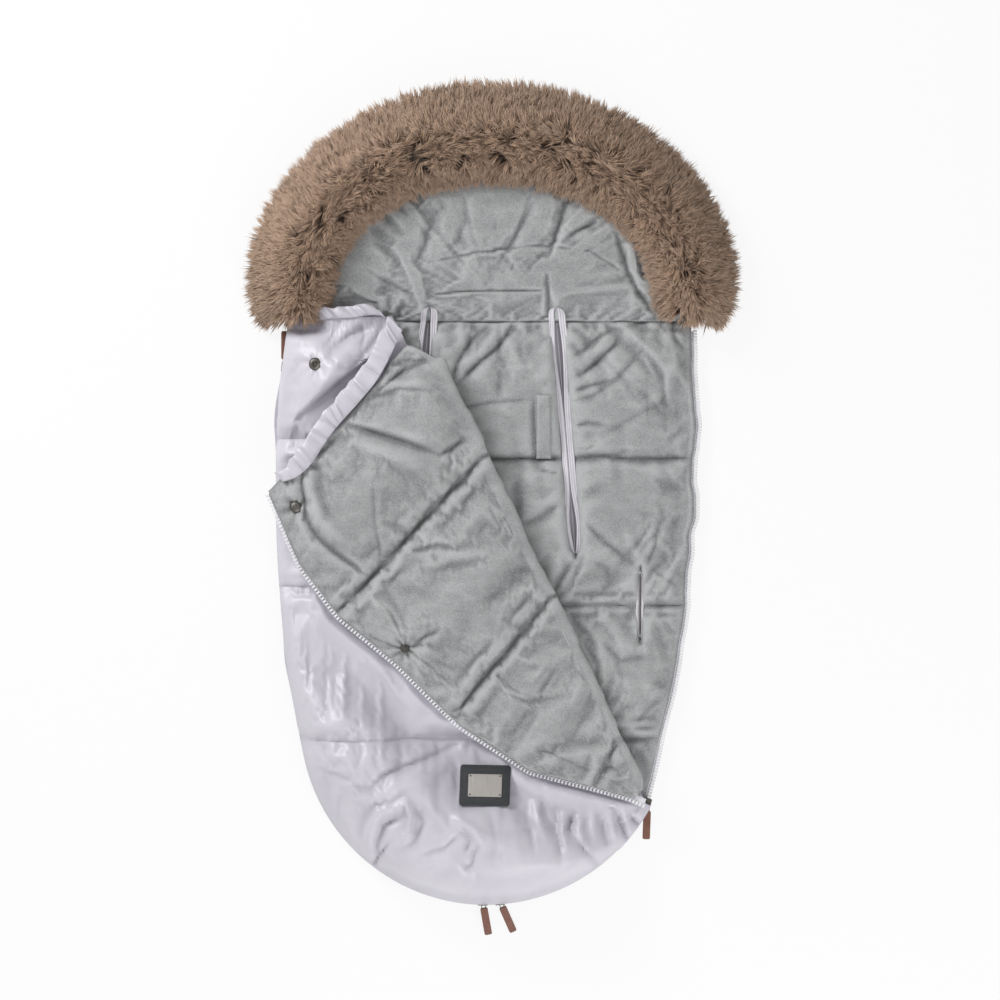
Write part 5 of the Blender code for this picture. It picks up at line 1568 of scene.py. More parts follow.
@dataclass
class Hood:
    """The hood's plush lining, gathered towards the fur, and its outer cloth."""

    x: float = 0.0006
    y: float = 0.2524
    a: float = 0.2320
    b: float = 0.1990
    rows: int = 170
    cols: int = 240
    low: float = 0.2159
    settling: Settling = Settling(66, 92, 0.05, 0.8, 0.006)
    seams: tuple[tuple[tuple[float, float], ...], ...] = (
        ((430, 262), (480, 252), (540, 245), (590, 252), (618, 270)),
        ((440, 293), (490, 290), (540, 291)),
    )
    folds: tuple[Fold, ...] = (
        fold(-5.0, 4.5, 566, 203, 556, 235, 547, 266),
        fold(-4.0, 4.0, 546, 268, 547, 288, 550, 306),
        fold(3.6, 7.0, 560, 240, 550, 262, 530, 275),
        fold(-4.2, 6.0, 535, 200, 522, 225, 500, 262),
        fold(4.0, 8.0, 520, 200, 508, 225, 490, 250),
        fold(-4.2, 4.0, 600, 222, 575, 232, 566, 240),
        fold(3.6, 5.0, 612, 228, 590, 242, 560, 262),
        fold(-7.0, 3.6, 617, 237, 622, 252, 628, 271, 638, 292, 655, 314),
        fold(6.0, 5.0, 630, 248, 632, 268, 640, 286, 660, 300),
        fold(-5.0, 3.5, 640, 255, 642, 272, 655, 290),
        fold(5.0, 5.0, 655, 262, 650, 280, 664, 294),
        fold(-3.4, 7.5, 432, 212, 428, 240, 418, 262),
        fold(-3.0, 8.0, 465, 190, 466, 220, 456, 250),
        fold(-3.6, 6.0, 355, 262, 385, 282, 425, 300),
        fold(3.4, 7.0, 350, 282, 372, 296, 392, 308),
        fold(3.0, 7.5, 398, 250, 416, 276, 424, 304),
        fold(2.4, 10.0, 545, 269, 580, 262, 620, 270),
    )

    def grid(self, inset: float, rows: int, cols: int) -> tuple[Array, Array]:
        """The hood's grid: half an ellipse whose upper rows bow along its rim.

        Args:
            inset: How far inside the rim it ends.
            rows: Rows wanted.
            cols: Columns wanted.

        Returns:
            The x and y of each point.
        """
        a, b = self.a - inset, self.b - inset
        top = math.sin(math.radians(45))
        q = mix((self.low - self.y) / b, top, np.linspace(0, 1, rows))[:, None]
        half = np.sqrt(1 - np.minimum(q, top) ** 2)
        p = mix(-half, half, np.linspace(0, 1, cols)[None])
        lift = np.clip(q / top, 0, 1) * np.maximum(0, np.sqrt(np.maximum(0, 1 - p * p)) - top)
        return self.x + a * p, self.y + b * (q + lift)

    def build(self) -> None:
        """Builds the lining and the outer cloth."""
        x, y = self.grid(0.002, self.rows, self.cols)
        inside = (1 - np.hypot((x - self.x) / self.a, (y - self.y) / self.b)) * self.b
        seam = swell((y - 0.2156) / 0.030)
        z = mix(0.0080, mix(0.0095, 0.0165, seam), swell(inside / 0.05))
        angle = np.arctan2(y - 0.24, x)
        near = np.exp(-np.maximum(inside - 0.045, 0) / 0.045)
        spokes = drift(angle * 0.20, inside * 0.10, 0.0125, 130)
        fine = drift(angle * 0.20, inside * 0.15, 0.0062, 131)
        z = z + (0.0034 * spokes + 0.0012 * fine) * near * smooth((y - 0.225) / 0.05)
        for fold in self.folds:
            z = z + fold.height(x, y)
        for line in self.seams:
            away, _ = segment_distance(x, y, photo_line(line))
            z = z - 0.0012 * np.exp(-((away / 0.0016) ** 2))
        start = np.stack([x, y, z], axis=-1)
        moved = self.settling.moves(start, border(x.shape))
        top = start + moved * (0.4, 0.4, 1.0) * smooth(inside / 0.01)[..., None]
        creases = 0.0010 * (ridged(x, y + 0.4 * x, 0.04, 133) - 0.3)
        top[..., 2] += (creases + 0.0008 * drift(x, y, 0.02, 134)) * seam
        top[..., 2] = np.clip(top[..., 2], 0.0070, 0.0215)
        SURFACES["hood"] = top
        bottom = top.copy()
        bottom[..., 2] = 0.0030
        plush = sheet_mesh("hood_plush", top, bottom)
        dress(plush, PLUSH, Body.HOOD, ("hood_lining", "hood_padding"))
        x, y = self.grid(0.0, 80, 120)
        low = np.stack([x, y, 0.0003 * (1 + drift(x, y, 0.03, 136))], axis=-1)
        high = low.copy()
        high[..., 2] = 0.0027
        dress(sheet_mesh("hood_cloth", high, low), NYLON, Body.HOOD, ("hood_shell",))


@dataclass
class Fur:
    """The long-pile trim round the hood: a backing with thousands of tapered strands in tufts."""

    a: float = 0.2320
    b: float = 0.1825
    y: float = 0.2501
    start_deg: float = -8.0
    side_half: float = 0.0425
    top_half: float = 0.0520
    pieces: int = 7
    strands: int = 11500
    tufts: int = 1900
    pile: float = 0.0225
    pile_spread: float = 0.0030
    gathered: float = 0.32
    end_fullness: float = 0.62
    end_reach: float = 0.055

    @property
    def length(self) -> float:
        """About how long the trim is round the hood."""
        return math.pi * (self.a + self.b) / 2

    def fullness(self, v: Array) -> Array:
        """How full the trim is at each share round it: less at both ends."""
        return mix(self.end_fullness, 1.0, swell(np.minimum(v, 1 - v) * self.length / self.end_reach))

    def spot(self, v: Array, w: Array) -> tuple[Array, Array]:
        """A place on the trim: v runs round it from the right end, w across from -1 inside to 1 outside.

        Args:
            v: Share round the horseshoe.
            w: Share across.

        Returns:
            The place seen from above and the outward direction there.
        """
        angle = np.radians(mix(self.start_deg, 180 - self.start_deg, v))
        out = unit(np.stack([np.cos(angle) / self.a, np.sin(angle) / self.b], axis=-1))
        half = mix(self.side_half, self.top_half, np.maximum(0, np.sin(angle)) ** 2) * self.fullness(v)
        centre = np.stack([self.a * np.cos(angle), self.y + self.b * np.sin(angle)], axis=-1)
        return centre + out * (w * half)[..., None], out

    def dome(self, w: Array, end: Array) -> Array:
        """Height of the backing across the trim: a low dome that ends on the floor outside."""
        outside = mix(0.0153, 0.0020, smooth(w * 1.2))
        return outside + 0.030 * end * np.sqrt(np.clip(1 - w * w, 0, 1))

    def build(self) -> None:
        """Builds the backing and the strands."""
        v = np.linspace(0.006, 0.994, 180)[:, None] + np.zeros((1, 40))
        w = np.linspace(-0.80, 0.84, 40)[None] + 0 * v
        place, _ = self.spot(v, w)
        uneven = 0.002 * drift(place[..., 0], place[..., 1], 0.02, 300)
        z = self.dome(w / 0.86, self.fullness(v)) - 0.002 + uneven
        top = np.concatenate([place, z[..., None]], axis=-1)
        bottom = top.copy()
        bottom[..., 2] = np.minimum(mix(0.0140, 0.0015, smooth((w - 0.12) / 0.15)), z - 0.001)
        base = sheet_mesh("fur_base", top, bottom)
        dress(base, FUR_BASE, Body.HOOD, ("fur_trim",))
        rng = np.random.default_rng(7)
        for number in range(self.pieces):
            self.strand_piece(number, rng)

    def strand_piece(self, number: int, rng: np.random.Generator) -> None:
        """One mesh of strands over its share of the horseshoe.

        Args:
            number: Which piece.
            rng: Random numbers for the roots.
        """
        low, high = number / self.pieces, (number + 1) / self.pieces
        count = self.strands
        v = rng.uniform(low, high, count)
        w = rng.uniform(-0.84, 0.82, count)
        tv = rng.uniform(low - 0.01, high + 0.01, self.tufts)
        tw = rng.uniform(-0.88, 0.86, self.tufts)
        root_xy, out = self.spot(v, w)
        end = self.fullness(v)
        root_z = self.dome(w / 0.92, end) - 0.004
        tuft_xy, _ = self.spot(tv, tw)
        apart = ((root_xy[:, None] - tuft_xy[None]) ** 2).sum(-1)
        nearest = apart.argmin(axis=1)
        parting = -0.30 + 0.20 * drift(v, 0 * v, 0.11, 310)
        lean = np.clip((w - parting) / 0.42, -1, 1)
        sweep = drift(tv, tw * 0.1, 0.035, 311)[nearest] * 1.3 + rng.normal(0, 0.22, count)
        side = np.stack([-out[:, 1], out[:, 0]], axis=-1)
        near_end = np.clip(1 - np.minimum(v, 1 - v) * self.length / 0.040, 0, 1)
        end_side = np.where(v < 0.5, -1.0, 1.0) * near_end
        swirl = 1.5 * np.sign(drift(tv, tw * 0.12, 0.016, 313)) * (0.6 + 0.4 * drift(tv, tw, 0.01, 314))
        swirl = swirl[nearest] * (1 - lean**2)
        flow = out * lean[:, None] + side * (0.45 * sweep + 0.95 * end_side + swirl)[:, None]
        tuft_push = np.stack([rng.normal(0, 1, self.tufts), rng.normal(0, 1, self.tufts)], axis=-1)[nearest]
        flow = flow + 0.30 * tuft_push
        long = (self.pile + rng.normal(0, self.pile_spread, count)) * (0.80 + 0.20 * end)
        rise = 0.30 + 0.22 * (1 - np.abs(lean)) + rng.normal(0, 0.06, count)
        ahead = unit(np.concatenate([flow, rise[:, None]], axis=-1))
        root = np.concatenate([root_xy, root_z[:, None]], axis=-1)
        tip = root + ahead * long[:, None]
        tip[:, 2] -= 0.006 * np.abs(lean) ** 2
        sums = np.zeros((self.tufts, 3))
        hits = np.zeros(self.tufts)
        np.add.at(sums, nearest, tip)
        np.add.at(hits, nearest, 1)
        gather = (sums / np.maximum(hits, 1)[:, None])[nearest]
        tip = mix(tip, gather, self.gathered * rng.uniform(0.3, 1.0, count)[:, None])
        tip[:, 2] = np.maximum(tip[:, 2], 0.0015)
        middle = mix(root, tip, 0.5)
        middle[:, 2] += 0.0045 + rng.normal(0, 0.0008, count)
        piece, tone = strand_mesh(f"fur_strands_{number + 1}", root, middle, tip)
        # Strands along the parting are made darker: painted shade where the pile parts. Each strand's tone
        # shift is random tuft tone plus this painted shade.
        painted_parting_shade = np.exp(-(((w - parting) / 0.20) ** 2)) * (0.5 + 0.5 * drift(v, w * 0.05, 0.02, 312))
        luck_and_shade = rng.normal(0, 0.10, count) + 0.16 * rng.normal(0, 1, self.tufts)[nearest] - 0.04 * painted_parting_shade
        layer = piece.data.attributes.new("strand", "FLOAT_VECTOR", "POINT")
        lucks_and_shade = np.repeat(luck_and_shade[:, None], tone.shape[1], axis=1)
        values = np.stack([tone, lucks_and_shade, 0 * tone], axis=-1)
        layer.data.foreach_set("vector", values.astype(np.float32).ravel())
        piece.data.materials.append(fur_material())
        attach(piece, Body.HOOD.value)
        if number == 0:
            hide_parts("fur_band")
        LOG.info("%s: %d strands", piece.name, count)


STRAND_SHARES = (0.0, 0.35, 0.72)
STRAND_HALVES = (0.00056, 0.00062, 0.00036)
STRAND_TONES = (0.0, 0.38, 0.75, 1.0)
STRAND_CORNERS = ((-1.0, -0.35), (1.0, -0.35), (0.0, 0.7))


def strand_mesh(name: str, root: Array, middle: Array, tip: Array) -> tuple[bpy.types.Object, Array]:
    """One mesh of tapered three-sided strands, each bent along a curve.

    Args:
        name: The piece's name.
        root: Where each strand starts.
        middle: The point that each one bends towards.
        tip: Where each one ends.

    Returns:
        The new object, and the share of the way to the tip at each corner of each strand.
    """
    across = unit(np.cross(tip - root, (0, 0, 1.0)))
    upward = unit(np.cross(across, tip - root))
    points = []
    for s, wide in zip(STRAND_SHARES, STRAND_HALVES):
        ring = (1 - s) ** 2 * root + 2 * s * (1 - s) * middle + s * s * tip
        points += [ring + wide * (side * across + high * upward) for side, high in STRAND_CORNERS]
    points = np.stack([*points, tip], axis=1)
    quads = [(3 * r + k, 3 * r + (k + 1) % 3, 3 * r + 3 + (k + 1) % 3, 3 * r + 3 + k)
             for r in range(2) for k in range(3)]
    tris = [t for a, b, c, d in quads for t in ((a, b, c), (a, c, d))]
    tris += [(6, 7, 9), (7, 8, 9), (8, 6, 9), (2, 1, 0)]
    corners = points.shape[1]
    faces = np.array(tris)[None] + (np.arange(len(root)) * corners)[:, None, None]
    piece = mesh_object(name, points.reshape(-1, 3), faces.reshape(-1, 3), 180.0)
    return piece, np.repeat(np.array(STRAND_TONES), (3, 3, 3, 1))[None] + 0 * points[..., 0]


def fur_material() -> bpy.types.Material:
    """Brown fur: dark at the roots, lighter towards the tips, a little different in each tuft, and darker
    along the parting, which is painted shade.
    """
    if "long_fur" in bpy.data.materials:
        return bpy.data.materials["long_fur"]
    made = bpy.data.materials.new("long_fur")
    made.use_nodes = True
    build = Nodes(made.node_tree)
    shader = made.node_tree.nodes["Principled BSDF"]
    strand = build.add("ShaderNodeAttribute", attribute_name="strand")
    parts = build.add("ShaderNodeSeparateXYZ")
    build.join(strand.outputs["Vector"], parts.inputs[0])
    tone = build.sum(((parts.outputs["X"], 1.0), (parts.outputs["Y"], 1.0)))
    colour = build.ramp(tone, ((0.0, (0.120, 0.078, 0.052)), (1.0, (0.540, 0.375, 0.265)),
                               (0.35, (0.240, 0.155, 0.103)), (0.65, (0.395, 0.265, 0.182))))
    build.join(colour, shader.inputs["Base Color"])
    fill_in(shader, {"Roughness": 0.62, "Specular IOR Level": 0.35, "Sheen Weight": 0.15})
    return made


# Zips and trimmings


TOOTH = np.array([(sx * 0.5, sy, sz) for sz, grow in ((0.0, 1.0), (0.72, 1.0), (1.0, 0.72))
                  for sx, sy in ((-grow, 0.5 - grow * 0.5), (grow, 0.5 - grow * 0.5),
                                 (grow, 0.5 + grow * 0.5), (-grow, 0.5 + grow * 0.5))])
TOOTH_FACES = np.array([(3, 2, 1, 0), (8, 9, 10, 11)]
                       + [(4 * r + k, 4 * r + (k + 1) % 4, 4 * r + 4 + (k + 1) % 4, 4 * r + 4 + k)
                          for r in range(2) for k in range(4)])


@dataclass
class Zip:
    """A row of moulded teeth along a path, and the woven tape that holds them."""

    name: str
    body: Body
    path: Array
    inward: Array
    pitch: float = 0.0042
    tooth: tuple[float, float, float] = (0.0026, 0.0050, 0.0031)
    tape: tuple[float, float] = (0.0036, 0.0108)

    def build(self) -> None:
        """Builds the teeth and the tape."""
        both = np.concatenate([self.path, self.inward], axis=1)
        steps = even_steps(both, self.pitch)
        spot, inward = steps[:, :3], unit(steps[:, 3:])
        ahead = unit(np.gradient(spot, axis=0))
        upward = np.cross(ahead, inward)
        upward *= np.sign(upward[:, 2:3])
        axes = np.stack([ahead * self.tooth[0], inward * self.tooth[1], upward * self.tooth[2]], axis=1)
        teeth = repeated(f"{self.name}_teeth_row", TOOTH, TOOTH_FACES, spot, axes)
        dress(outward(teeth), TEETH, self.body, (f"{self.name}_zip_teeth",))
        fine = even_steps(both, 0.0035)
        spot, inward = fine[:, :3], unit(fine[:, 3:])
        across = np.linspace(*self.tape, 4)
        rib = 0.00015 * np.sin(np.arange(len(spot)) * 2.2)[:, None]
        top = spot[:, None] + inward[:, None] * across[None, :, None]
        top[..., 2] += 0.0020 + rib
        bottom = top.copy()
        bottom[..., 2] -= 0.0010
        dress(sheet_mesh(f"{self.name}_tape_strip", top, bottom), TAPE, self.body,
              (f"{self.name}_zip_tape",))


TEETH_Z = 0.0068


def outline_zip(name: str, centre: tuple[float, float], radius: float, start: float, end: float) -> Zip:
    """A zip along an arc of the outline.

    Args:
        name: The zip's name.
        centre: Centre of its circle.
        radius: The circle's radius.
        start: First angle in degrees.
        end: Last angle in degrees.

    Returns:
        The zip, ready to build.
    """
    angles = np.radians(np.linspace(start, end, 200))
    out = np.stack([np.cos(angles), np.sin(angles), 0 * angles], axis=-1)
    spot = np.array((*centre, TEETH_Z)) + out * (radius - 0.0010)
    spot[:, 0] = waved(spot[:, 0], spot[:, 1])
    return Zip(name, Body.MAIN, spot, -out)


def angle_of(centre: tuple[float, float], x: float, y: float) -> float:
    """The angle of a place round a centre, in degrees."""
    return math.degrees(math.atan2(y - centre[1], x - centre[0]))


@dataclass
class Zips:
    """The zips round the outline and along the flap."""

    top_y: float = 0.2050

    def build(self) -> None:
        """Builds all four."""
        o = OUTLINE
        foot = (o.foot_x, o.foot_y)
        left_x = float(o.left(np.array(self.top_y)))
        right_x = float(o.right(np.array(self.top_y)))
        low_left, low_right = o.foot_point(o.left_low), o.foot_point(o.right_low)
        outline_zip("left", o.left_c, o.left_r, angle_of(o.left_c, left_x, self.top_y) % 360,
                    angle_of(o.left_c, *low_left) % 360).build()
        outline_zip("foot", foot, o.foot_r, o.left_low + 0.6, o.right_low - 0.6).build()
        outline_zip("side", o.right_c, o.right_r, angle_of(o.right_c, *low_right) + 0.15,
                    angle_of(o.right_c, right_x, self.top_y)).build()
        v = np.linspace(0.0, 1.0, 170)
        crease, end = crease_at(v), along(FLAP_ENDS, v)
        span = unit(crease - end)
        spot = end + span * 0.0010
        low = layer_height("flap_zip_teeth", spot[:, 0], spot[:, 1], False, 0.008)
        tail = np.array([(*from_photo(*place), low[0]) for place in ((646, 808), (640, 805.5), (634, 803))])
        line = np.concatenate([tail, np.concatenate([spot, low[:, None]], axis=1)])
        line = even_steps(blurred(line[:, None], 4)[:, 0], 0.0030)
        turn = np.gradient(line[:, :2], axis=0)
        inward = np.stack([-turn[:, 1], turn[:, 0], 0 * turn[:, 0]], axis=-1)
        inward *= np.sign(inward[:, :2] @ span.mean(axis=0))[:, None]
        Zip("flap", Body.FLAP, line, inward).build()


LIP_REACH = 0.0175
LIP_Z = 0.0128
LIP_WIDE = 0.0064


@dataclass
class Trims:
    """Bindings, patch, badge, press studs and the leather of the pulls."""

    def build(self) -> None:
        """Builds every trimming."""
        self.bindings()
        self.patch()
        self.badge()
        self.studs()
        self.pulls()

    def bindings(self) -> None:
        """The bound edges of the four slots."""
        names = [f"{kind}_binding_{side}" for kind, side in (
            ("waist", "left"), ("harness", "left"), ("harness", "right"), ("waist", "right"))]
        for slot, node in zip(SLOTS, names):
            if slot.lipped:
                self.lips(slot, node)
                continue
            y = np.linspace(slot.y_top - 0.0001, slot.y_foot + 0.0001, 120)
            away = slot.half(y) / slot.widest * 0.0030
            z = np.full_like(y, 0.0114)
            right = np.stack([slot.centre(y) + away, y, z], axis=-1)
            left = np.stack([slot.centre(y) - away, y, z], axis=-1)[::-1]
            ring = even_steps(np.concatenate([right, left, right[:1]]), 0.0024)[:-1]
            ring[:, 0] += 0.0004 * drift(ring[:, 0] * 0, ring[:, 1], 0.012, 400)
            edge = ring_mesh(f"{node}_edge", ring, 0.0016, 12, 1.9)
            dress(edge, THREAD, Body.MAIN, (node,))

    def lips(self, slot: Slot, node: str) -> None:
        """The folded lips of a harness slot: they meet midway and part near both ends.

        Args:
            slot: The slot.
            node: The CAD node of its binding.
        """
        high, low = slot.y_top + LIP_REACH, slot.y_foot - 0.0008
        y = mix(high, low, 0.5 - 0.5 * np.cos(np.pi * np.linspace(0, 1, 200)))
        share = (high - y) / (high - low)
        ends = np.sqrt(np.clip(1 - np.abs(2 * share - 1) ** 40, 0, 1))
        middle = slot.centre(y)
        t = np.linspace(0, 1, 15)[None]
        for number, (side, label) in enumerate(((-1.0, "left"), (1.0, "right"))):
            gap = (slot.gap(np.minimum(y, slot.y_top)) * ends)[:, None]
            wide = LIP_WIDE + 0.0014 * number + 0.0007 * drift(y, 0 * y, 0.030, 402 + number)
            wide = wide[:, None] * ends[:, None]
            x = middle[:, None] + side * mix(gap, gap + wide, t)
            rows = np.repeat(y[:, None], t.shape[1], axis=1)
            hood = surface_height("hood", x, rows, 0.003) + 0.0004
            level = blurred(np.where(rows > OUTLINE.hood_y - 0.0030, hood, LIP_Z), 12)
            crown = swell(t / 0.16) * swell((1 - t) / 0.12)
            stitched = np.exp(-(((t - 0.70) / 0.06) ** 2))
            folded = np.exp(-(((t - 0.34) / 0.05) ** 2)) * (0.3 + 0.7 * number)
            z = level + 0.0026 * crown - 0.0010 * stitched - 0.0012 * folded
            z = z + 0.0005 * drift(rows, x, 0.009, 404 + number) * crown
            top = np.stack([x, rows, z], axis=-1)
            bottom = top - (0, 0, 0.0030)
            dress(sheet_mesh(f"{node}_{label}_lip", top, bottom), BINDING, Body.MAIN,
                  (node,) if not number else ())

    def patch(self) -> None:
        """The patch sewn beside the right harness slot, its edges drawn down."""
        left, right, low, high = 0.0500, 0.0675, 0.0580, 0.1320
        x = np.linspace(left, right, 20)[None] + np.zeros((60, 1))
        y = np.linspace(low, high, 60)[:, None] + 0 * x
        z = surface_height("back", x, y, 0.005) + 0.0034
        z = z + 0.0006 * drift(x, y, 0.012, 410)
        edge = np.minimum(np.minimum(x - left, right - x), np.minimum(y - low, high - y))
        z = z - 0.0030 * (1 - swell(edge / 0.0040))
        top = np.stack([x, y, z], axis=-1)
        bottom = top - (0, 0, 0.0045)
        dress(sheet_mesh("slot_patch", top, bottom), PLUSH, Body.MAIN, ("tongue_patch",))

    def badge(self) -> None:
        """The plain badge: a grained patch with a stitched rim, a bare plate and four rivets."""
        centre, tilt = np.array((BADGE_X, BADGE_Y)), math.radians(-2.0)
        corners = node_corners("badge_patch")
        fit = plane_of(corners)
        ahead = np.array((math.cos(tilt), math.sin(tilt)))
        aside = np.array((-math.sin(tilt), math.cos(tilt)))

        def slab(name: str, wide: float, tall: float, corner: float, base: float, thick: float,
                 bevel: float) -> bpy.types.Object:
            """A rounded slab on the badge's plane."""
            turns = np.radians(np.arange(0, 360, 10.0))
            sx, sy = np.sign(np.cos(turns + 1e-6)), np.sign(np.sin(turns + 1e-6))
            rings = []
            steps = ((0.0, 0.0), (0.0, thick - bevel), (bevel * 0.3, thick - bevel * 0.3), (bevel, thick))
            for shrink, up in steps:
                px = sx * (wide / 2 - corner) + (corner - shrink) * np.cos(turns)
                py = sy * (tall / 2 - corner) + (corner - shrink) * np.sin(turns)
                xy = centre + px[:, None] * ahead + py[:, None] * aside
                rings.append(np.c_[xy, xy @ fit[:2] + fit[2] + base + up])
            return ringed(name, np.array(rings), [rings[0].mean(0), rings[-1].mean(0)], 35.0)

        half = (corners[:, 2] - corners[:, :2] @ fit[:2] - fit[2]).max()
        leather = slab("badge_leather", 0.0578, 0.0456, 0.0035, -half, 2 * half + 0.0004, 0.0010)
        dress(leather, GRAINED, Body.MAIN, ("badge_patch",))
        plate = slab("badge_metal", 0.0385, 0.0255, 0.0016, half + 0.0002, 0.0014, 0.0004)
        dress(plate, NICKEL, Body.MAIN, ("badge_plate",))
        normal = np.array((-fit[0], -fit[1], 1.0))
        for number, (sx, sy) in enumerate(((-1, -1), (1, -1), (1, 1), (-1, 1)), 1):
            xy = centre + sx * 0.0170 * ahead + sy * 0.0105 * aside
            foot = np.array((*xy, xy @ fit[:2] + fit[2] + half + 0.0012))
            profile = ((0, 0.0010), (0.0006, 0.0009), (0.0011, 0.0005), (0.0013, 0.0), (0, 0.0))
            dress(lathe(f"badge_pin_{number}", profile, foot, normal, 16), GUNMETAL, Body.MAIN,
                  (f"badge_rivet_{number}",))
        self.stitch_ring(centre, ahead, aside, fit, half)

    def stitch_ring(self, centre: Array, ahead: Array, aside: Array, fit: Array, half: float) -> None:
        """The stitches round the badge, each a short bead.

        Args:
            centre: The badge's middle.
            ahead: Its long direction.
            aside: Its short direction.
            fit: Its plane.
            half: Half its thickness.
        """
        wide, tall = 0.0528, 0.0406
        loop = np.array([(-wide, -tall), (wide, -tall), (wide, tall), (-wide, tall), (-wide, -tall)]) / 2
        spots = even_steps(loop, 0.0026)[:-1]
        steps = unit(np.roll(spots, -1, axis=0) - np.roll(spots, 1, axis=0))
        xy = centre + spots[:, :1] * ahead + spots[:, 1:] * aside
        run = steps[:, :1] * ahead + steps[:, 1:] * aside
        foot = np.c_[xy, xy @ fit[:2] + fit[2] + half + 0.0002]
        run = np.c_[run, run @ fit[:2]]
        across = np.c_[-run[:, 1], run[:, 0], 0 * xy[:, 0]]
        up = np.cross(run, across)
        axes = np.stack([run * 0.0017, across * 0.0005, up * 0.0005], axis=1)
        square = ((-0.5, -0.5), (0.5, -0.5), (0.5, 0.5), (-0.5, 0.5))
        shape = np.array([(x, y, z) for z in (0.0, 1.0) for x, y in square])
        shape[4:, :2] *= 0.6
        walls = [(k, (k + 1) % 4, (k + 1) % 4 + 4, k + 4) for k in range(4)]
        faces = np.array([(3, 2, 1, 0), (4, 5, 6, 7), *walls])
        beads = outward(repeated("badge_stitches", shape, faces, foot, axes))
        dress(beads, GRAINED, Body.MAIN)

    def studs(self) -> None:
        """The three press studs: a socket, a domed cap and a post."""
        socket = ((0, 0.0016), (0.0012, 0.0016), (0.0020, 0.0008), (0.0028, 0.0010), (0.0034, 0.0026),
                  (0.0046, 0.0030), (0.0060, 0.0024), (0.0072, 0.0008), (0.0074, 0.0), (0, -0.0010))
        cap = ((0, 0.0038), (0.0030, 0.0036), (0.0052, 0.0028), (0.0064, 0.0016), (0.0069, 0.0),
               (0, -0.0010))
        post = ((0, 0.0050), (0.0012, 0.0049), (0.0018, 0.0042), (0.0018, 0.0030), (0.0022, 0.0024),
                (0.0036, 0.0026), (0.0046, 0.0018), (0.0052, 0.0), (0, -0.0010))
        for node, profile, body, cloth in (("snap_socket", socket, Body.MAIN, "cover"),
                                           ("snap_cap", cap, Body.FLAP, "flap"),
                                           ("snap_post", post, Body.FLAP, "flap")):
            low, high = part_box(node)
            x, y = (low[0] + high[0]) / 2, (low[1] + high[1]) / 2
            turns = np.linspace(0, 2 * np.pi, 8, endpoint=False)
            rim = surface_height(cloth, x + 0.006 * np.cos(turns), y + 0.006 * np.sin(turns))
            foot = np.array((x, y, rim.mean() + 0.0004))
            stud = lathe(f"{node}_metal", profile, foot, np.array((0.0, 0.0, 1.0)))
            dress(stud, GUNMETAL, body, (node,))

    def pulls(self) -> None:
        """Metal and leather finishes for the sliders, links and tabs, which keep their CAD shape."""
        for name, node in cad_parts.items():
            if name.endswith(("_tab", "_link", "_slider")):
                for spot in node.material_slots:
                    spot.material = (LEATHER if name.endswith("_tab") else GUNMETAL).material()


# Studio


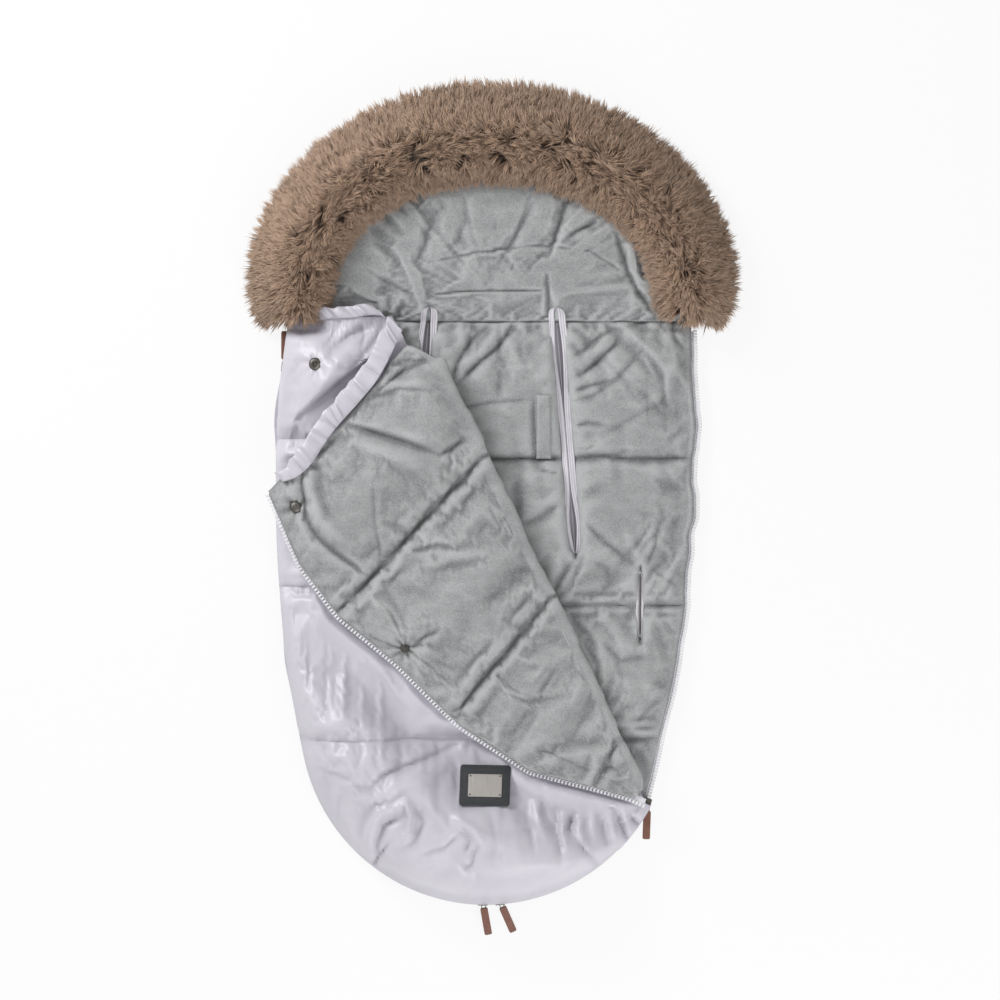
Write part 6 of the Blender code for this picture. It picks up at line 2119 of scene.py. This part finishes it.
@dataclass
class Studio:
    """The plain pale floor, soft light and the camera straight above."""

    centre: tuple[float, float] = (0.0086, 0.0109)
    width: float = 1.15
    lens: float = 200.0

    def build(self) -> None:
        """Makes the camera, the lamps, the world and the floor."""
        scene = bpy.context.scene
        camera = bpy.data.cameras.new("camera")
        camera.lens = self.lens
        camera.sensor_width = 36.0
        holder = bpy.data.objects.new("camera", camera)
        scene.collection.objects.link(holder)
        holder.location = (*self.centre, self.width * self.lens / 36.0)
        camera.clip_end = 50.0
        scene.camera = holder
        scene.view_settings.view_transform = "Standard"
        lamps = (("key", (-1.6, 1.5, 1.25), 0.9, 44.0), ("fill", (0.7, -1.9, 1.3), 1.4, 28.0))
        for name, place, size, power in lamps:
            lamp = bpy.data.lights.new(name, "AREA")
            lamp.shape = "SQUARE"
            lamp.size = size
            lamp.energy = power
            stand = bpy.data.objects.new(name, lamp)
            scene.collection.objects.link(stand)
            stand.location = place
            away = unit(np.array(place))
            stand.rotation_euler = (math.acos(away[2]), 0.0, math.atan2(away[1], away[0]) + math.pi / 2)
        world = bpy.data.worlds.new("studio")
        world.use_nodes = True
        scene.world = world
        build = Nodes(world.node_tree)
        light = world.node_tree.nodes["Background"]
        fill_in(light, {"Color": (1.0, 1.0, 1.0, 1.0), "Strength": 0.50})
        plain = build.add("ShaderNodeBackground", {"Strength": 1.0})
        joined = build.add("ShaderNodeMixShader")
        build.join(self.seen(build), joined.inputs["Fac"])
        build.join(light.outputs[0], joined.inputs[1])
        build.join(plain.outputs[0], joined.inputs[2])
        build.join(joined.outputs[0], world.node_tree.nodes["World Output"].inputs["Surface"])
        self.floor()

    def seen(self, build: Nodes) -> bpy.types.NodeSocket:
        """One where a ray comes from the camera, glass or a gloss."""
        path = build.add("ShaderNodeLightPath")
        total = build.sum([(path.outputs[name], 1.0)
                           for name in ("Is Camera Ray", "Is Glossy Ray", "Is Transmission Ray")])
        held = build.add("ShaderNodeMath", {1: 1.0}, operation="MINIMUM")
        build.join(total, held.inputs[0])
        return held.outputs[0]

    def floor(self) -> None:
        """A wide plain floor that shows white and keeps the object's shadow."""
        span = np.array([(-4, -4, 0), (4, -4, 0), (4, 4, 0), (-4, 4, 0)], float)
        floor = mesh_object("floor", span - (0, 0, 0.0004), np.array([[0, 1, 2, 3]]))
        paint = bpy.data.materials.new("floor")
        paint.use_nodes = True
        build = Nodes(paint.node_tree)
        shader = paint.node_tree.nodes["Principled BSDF"]
        fill_in(shader, {"Base Color": (0.80, 0.80, 0.80, 1.0), "Roughness": 0.9})
        glow = build.add("ShaderNodeEmission", {"Strength": 1.0})
        share = build.add("ShaderNodeMath", {1: 0.88}, operation="MULTIPLY")
        build.join(self.seen(build), share.inputs[0])
        joined = build.add("ShaderNodeMixShader")
        build.join(share.outputs[0], joined.inputs["Fac"])
        build.join(shader.outputs[0], joined.inputs[1])
        build.join(glow.outputs[0], joined.inputs[2])
        build.join(joined.outputs[0], paint.node_tree.nodes["Material Output"].inputs["Surface"])
        floor.data.materials.append(paint)


def main() -> None:
    """Builds the studio and every piece."""
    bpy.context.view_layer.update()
    Studio().build()
    BackPanel().build()
    Cover().build()
    Flap().build()
    Hem("cover_frill", Body.MAIN, cover_line(), 0.0175, "cover_hem", "cover_elastic", -1.0, 200).build()
    Hem("flap_frill", Body.FLAP, flap_line(), 0.0225, "flap_hem", "flap_elastic", 1.0, 220).build()
    Hood().build()
    Fur().build()
    Zips().build()
    Trims().build()


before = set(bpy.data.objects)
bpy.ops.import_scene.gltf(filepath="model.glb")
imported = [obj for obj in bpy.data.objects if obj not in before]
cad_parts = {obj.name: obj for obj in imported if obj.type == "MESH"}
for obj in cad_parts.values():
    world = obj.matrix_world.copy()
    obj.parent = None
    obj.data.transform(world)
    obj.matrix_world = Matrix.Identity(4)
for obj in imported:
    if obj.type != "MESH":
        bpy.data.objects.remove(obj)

if __name__ == "__main__":
    logging.basicConfig(level=logging.INFO, format="%(message)s")
    main()
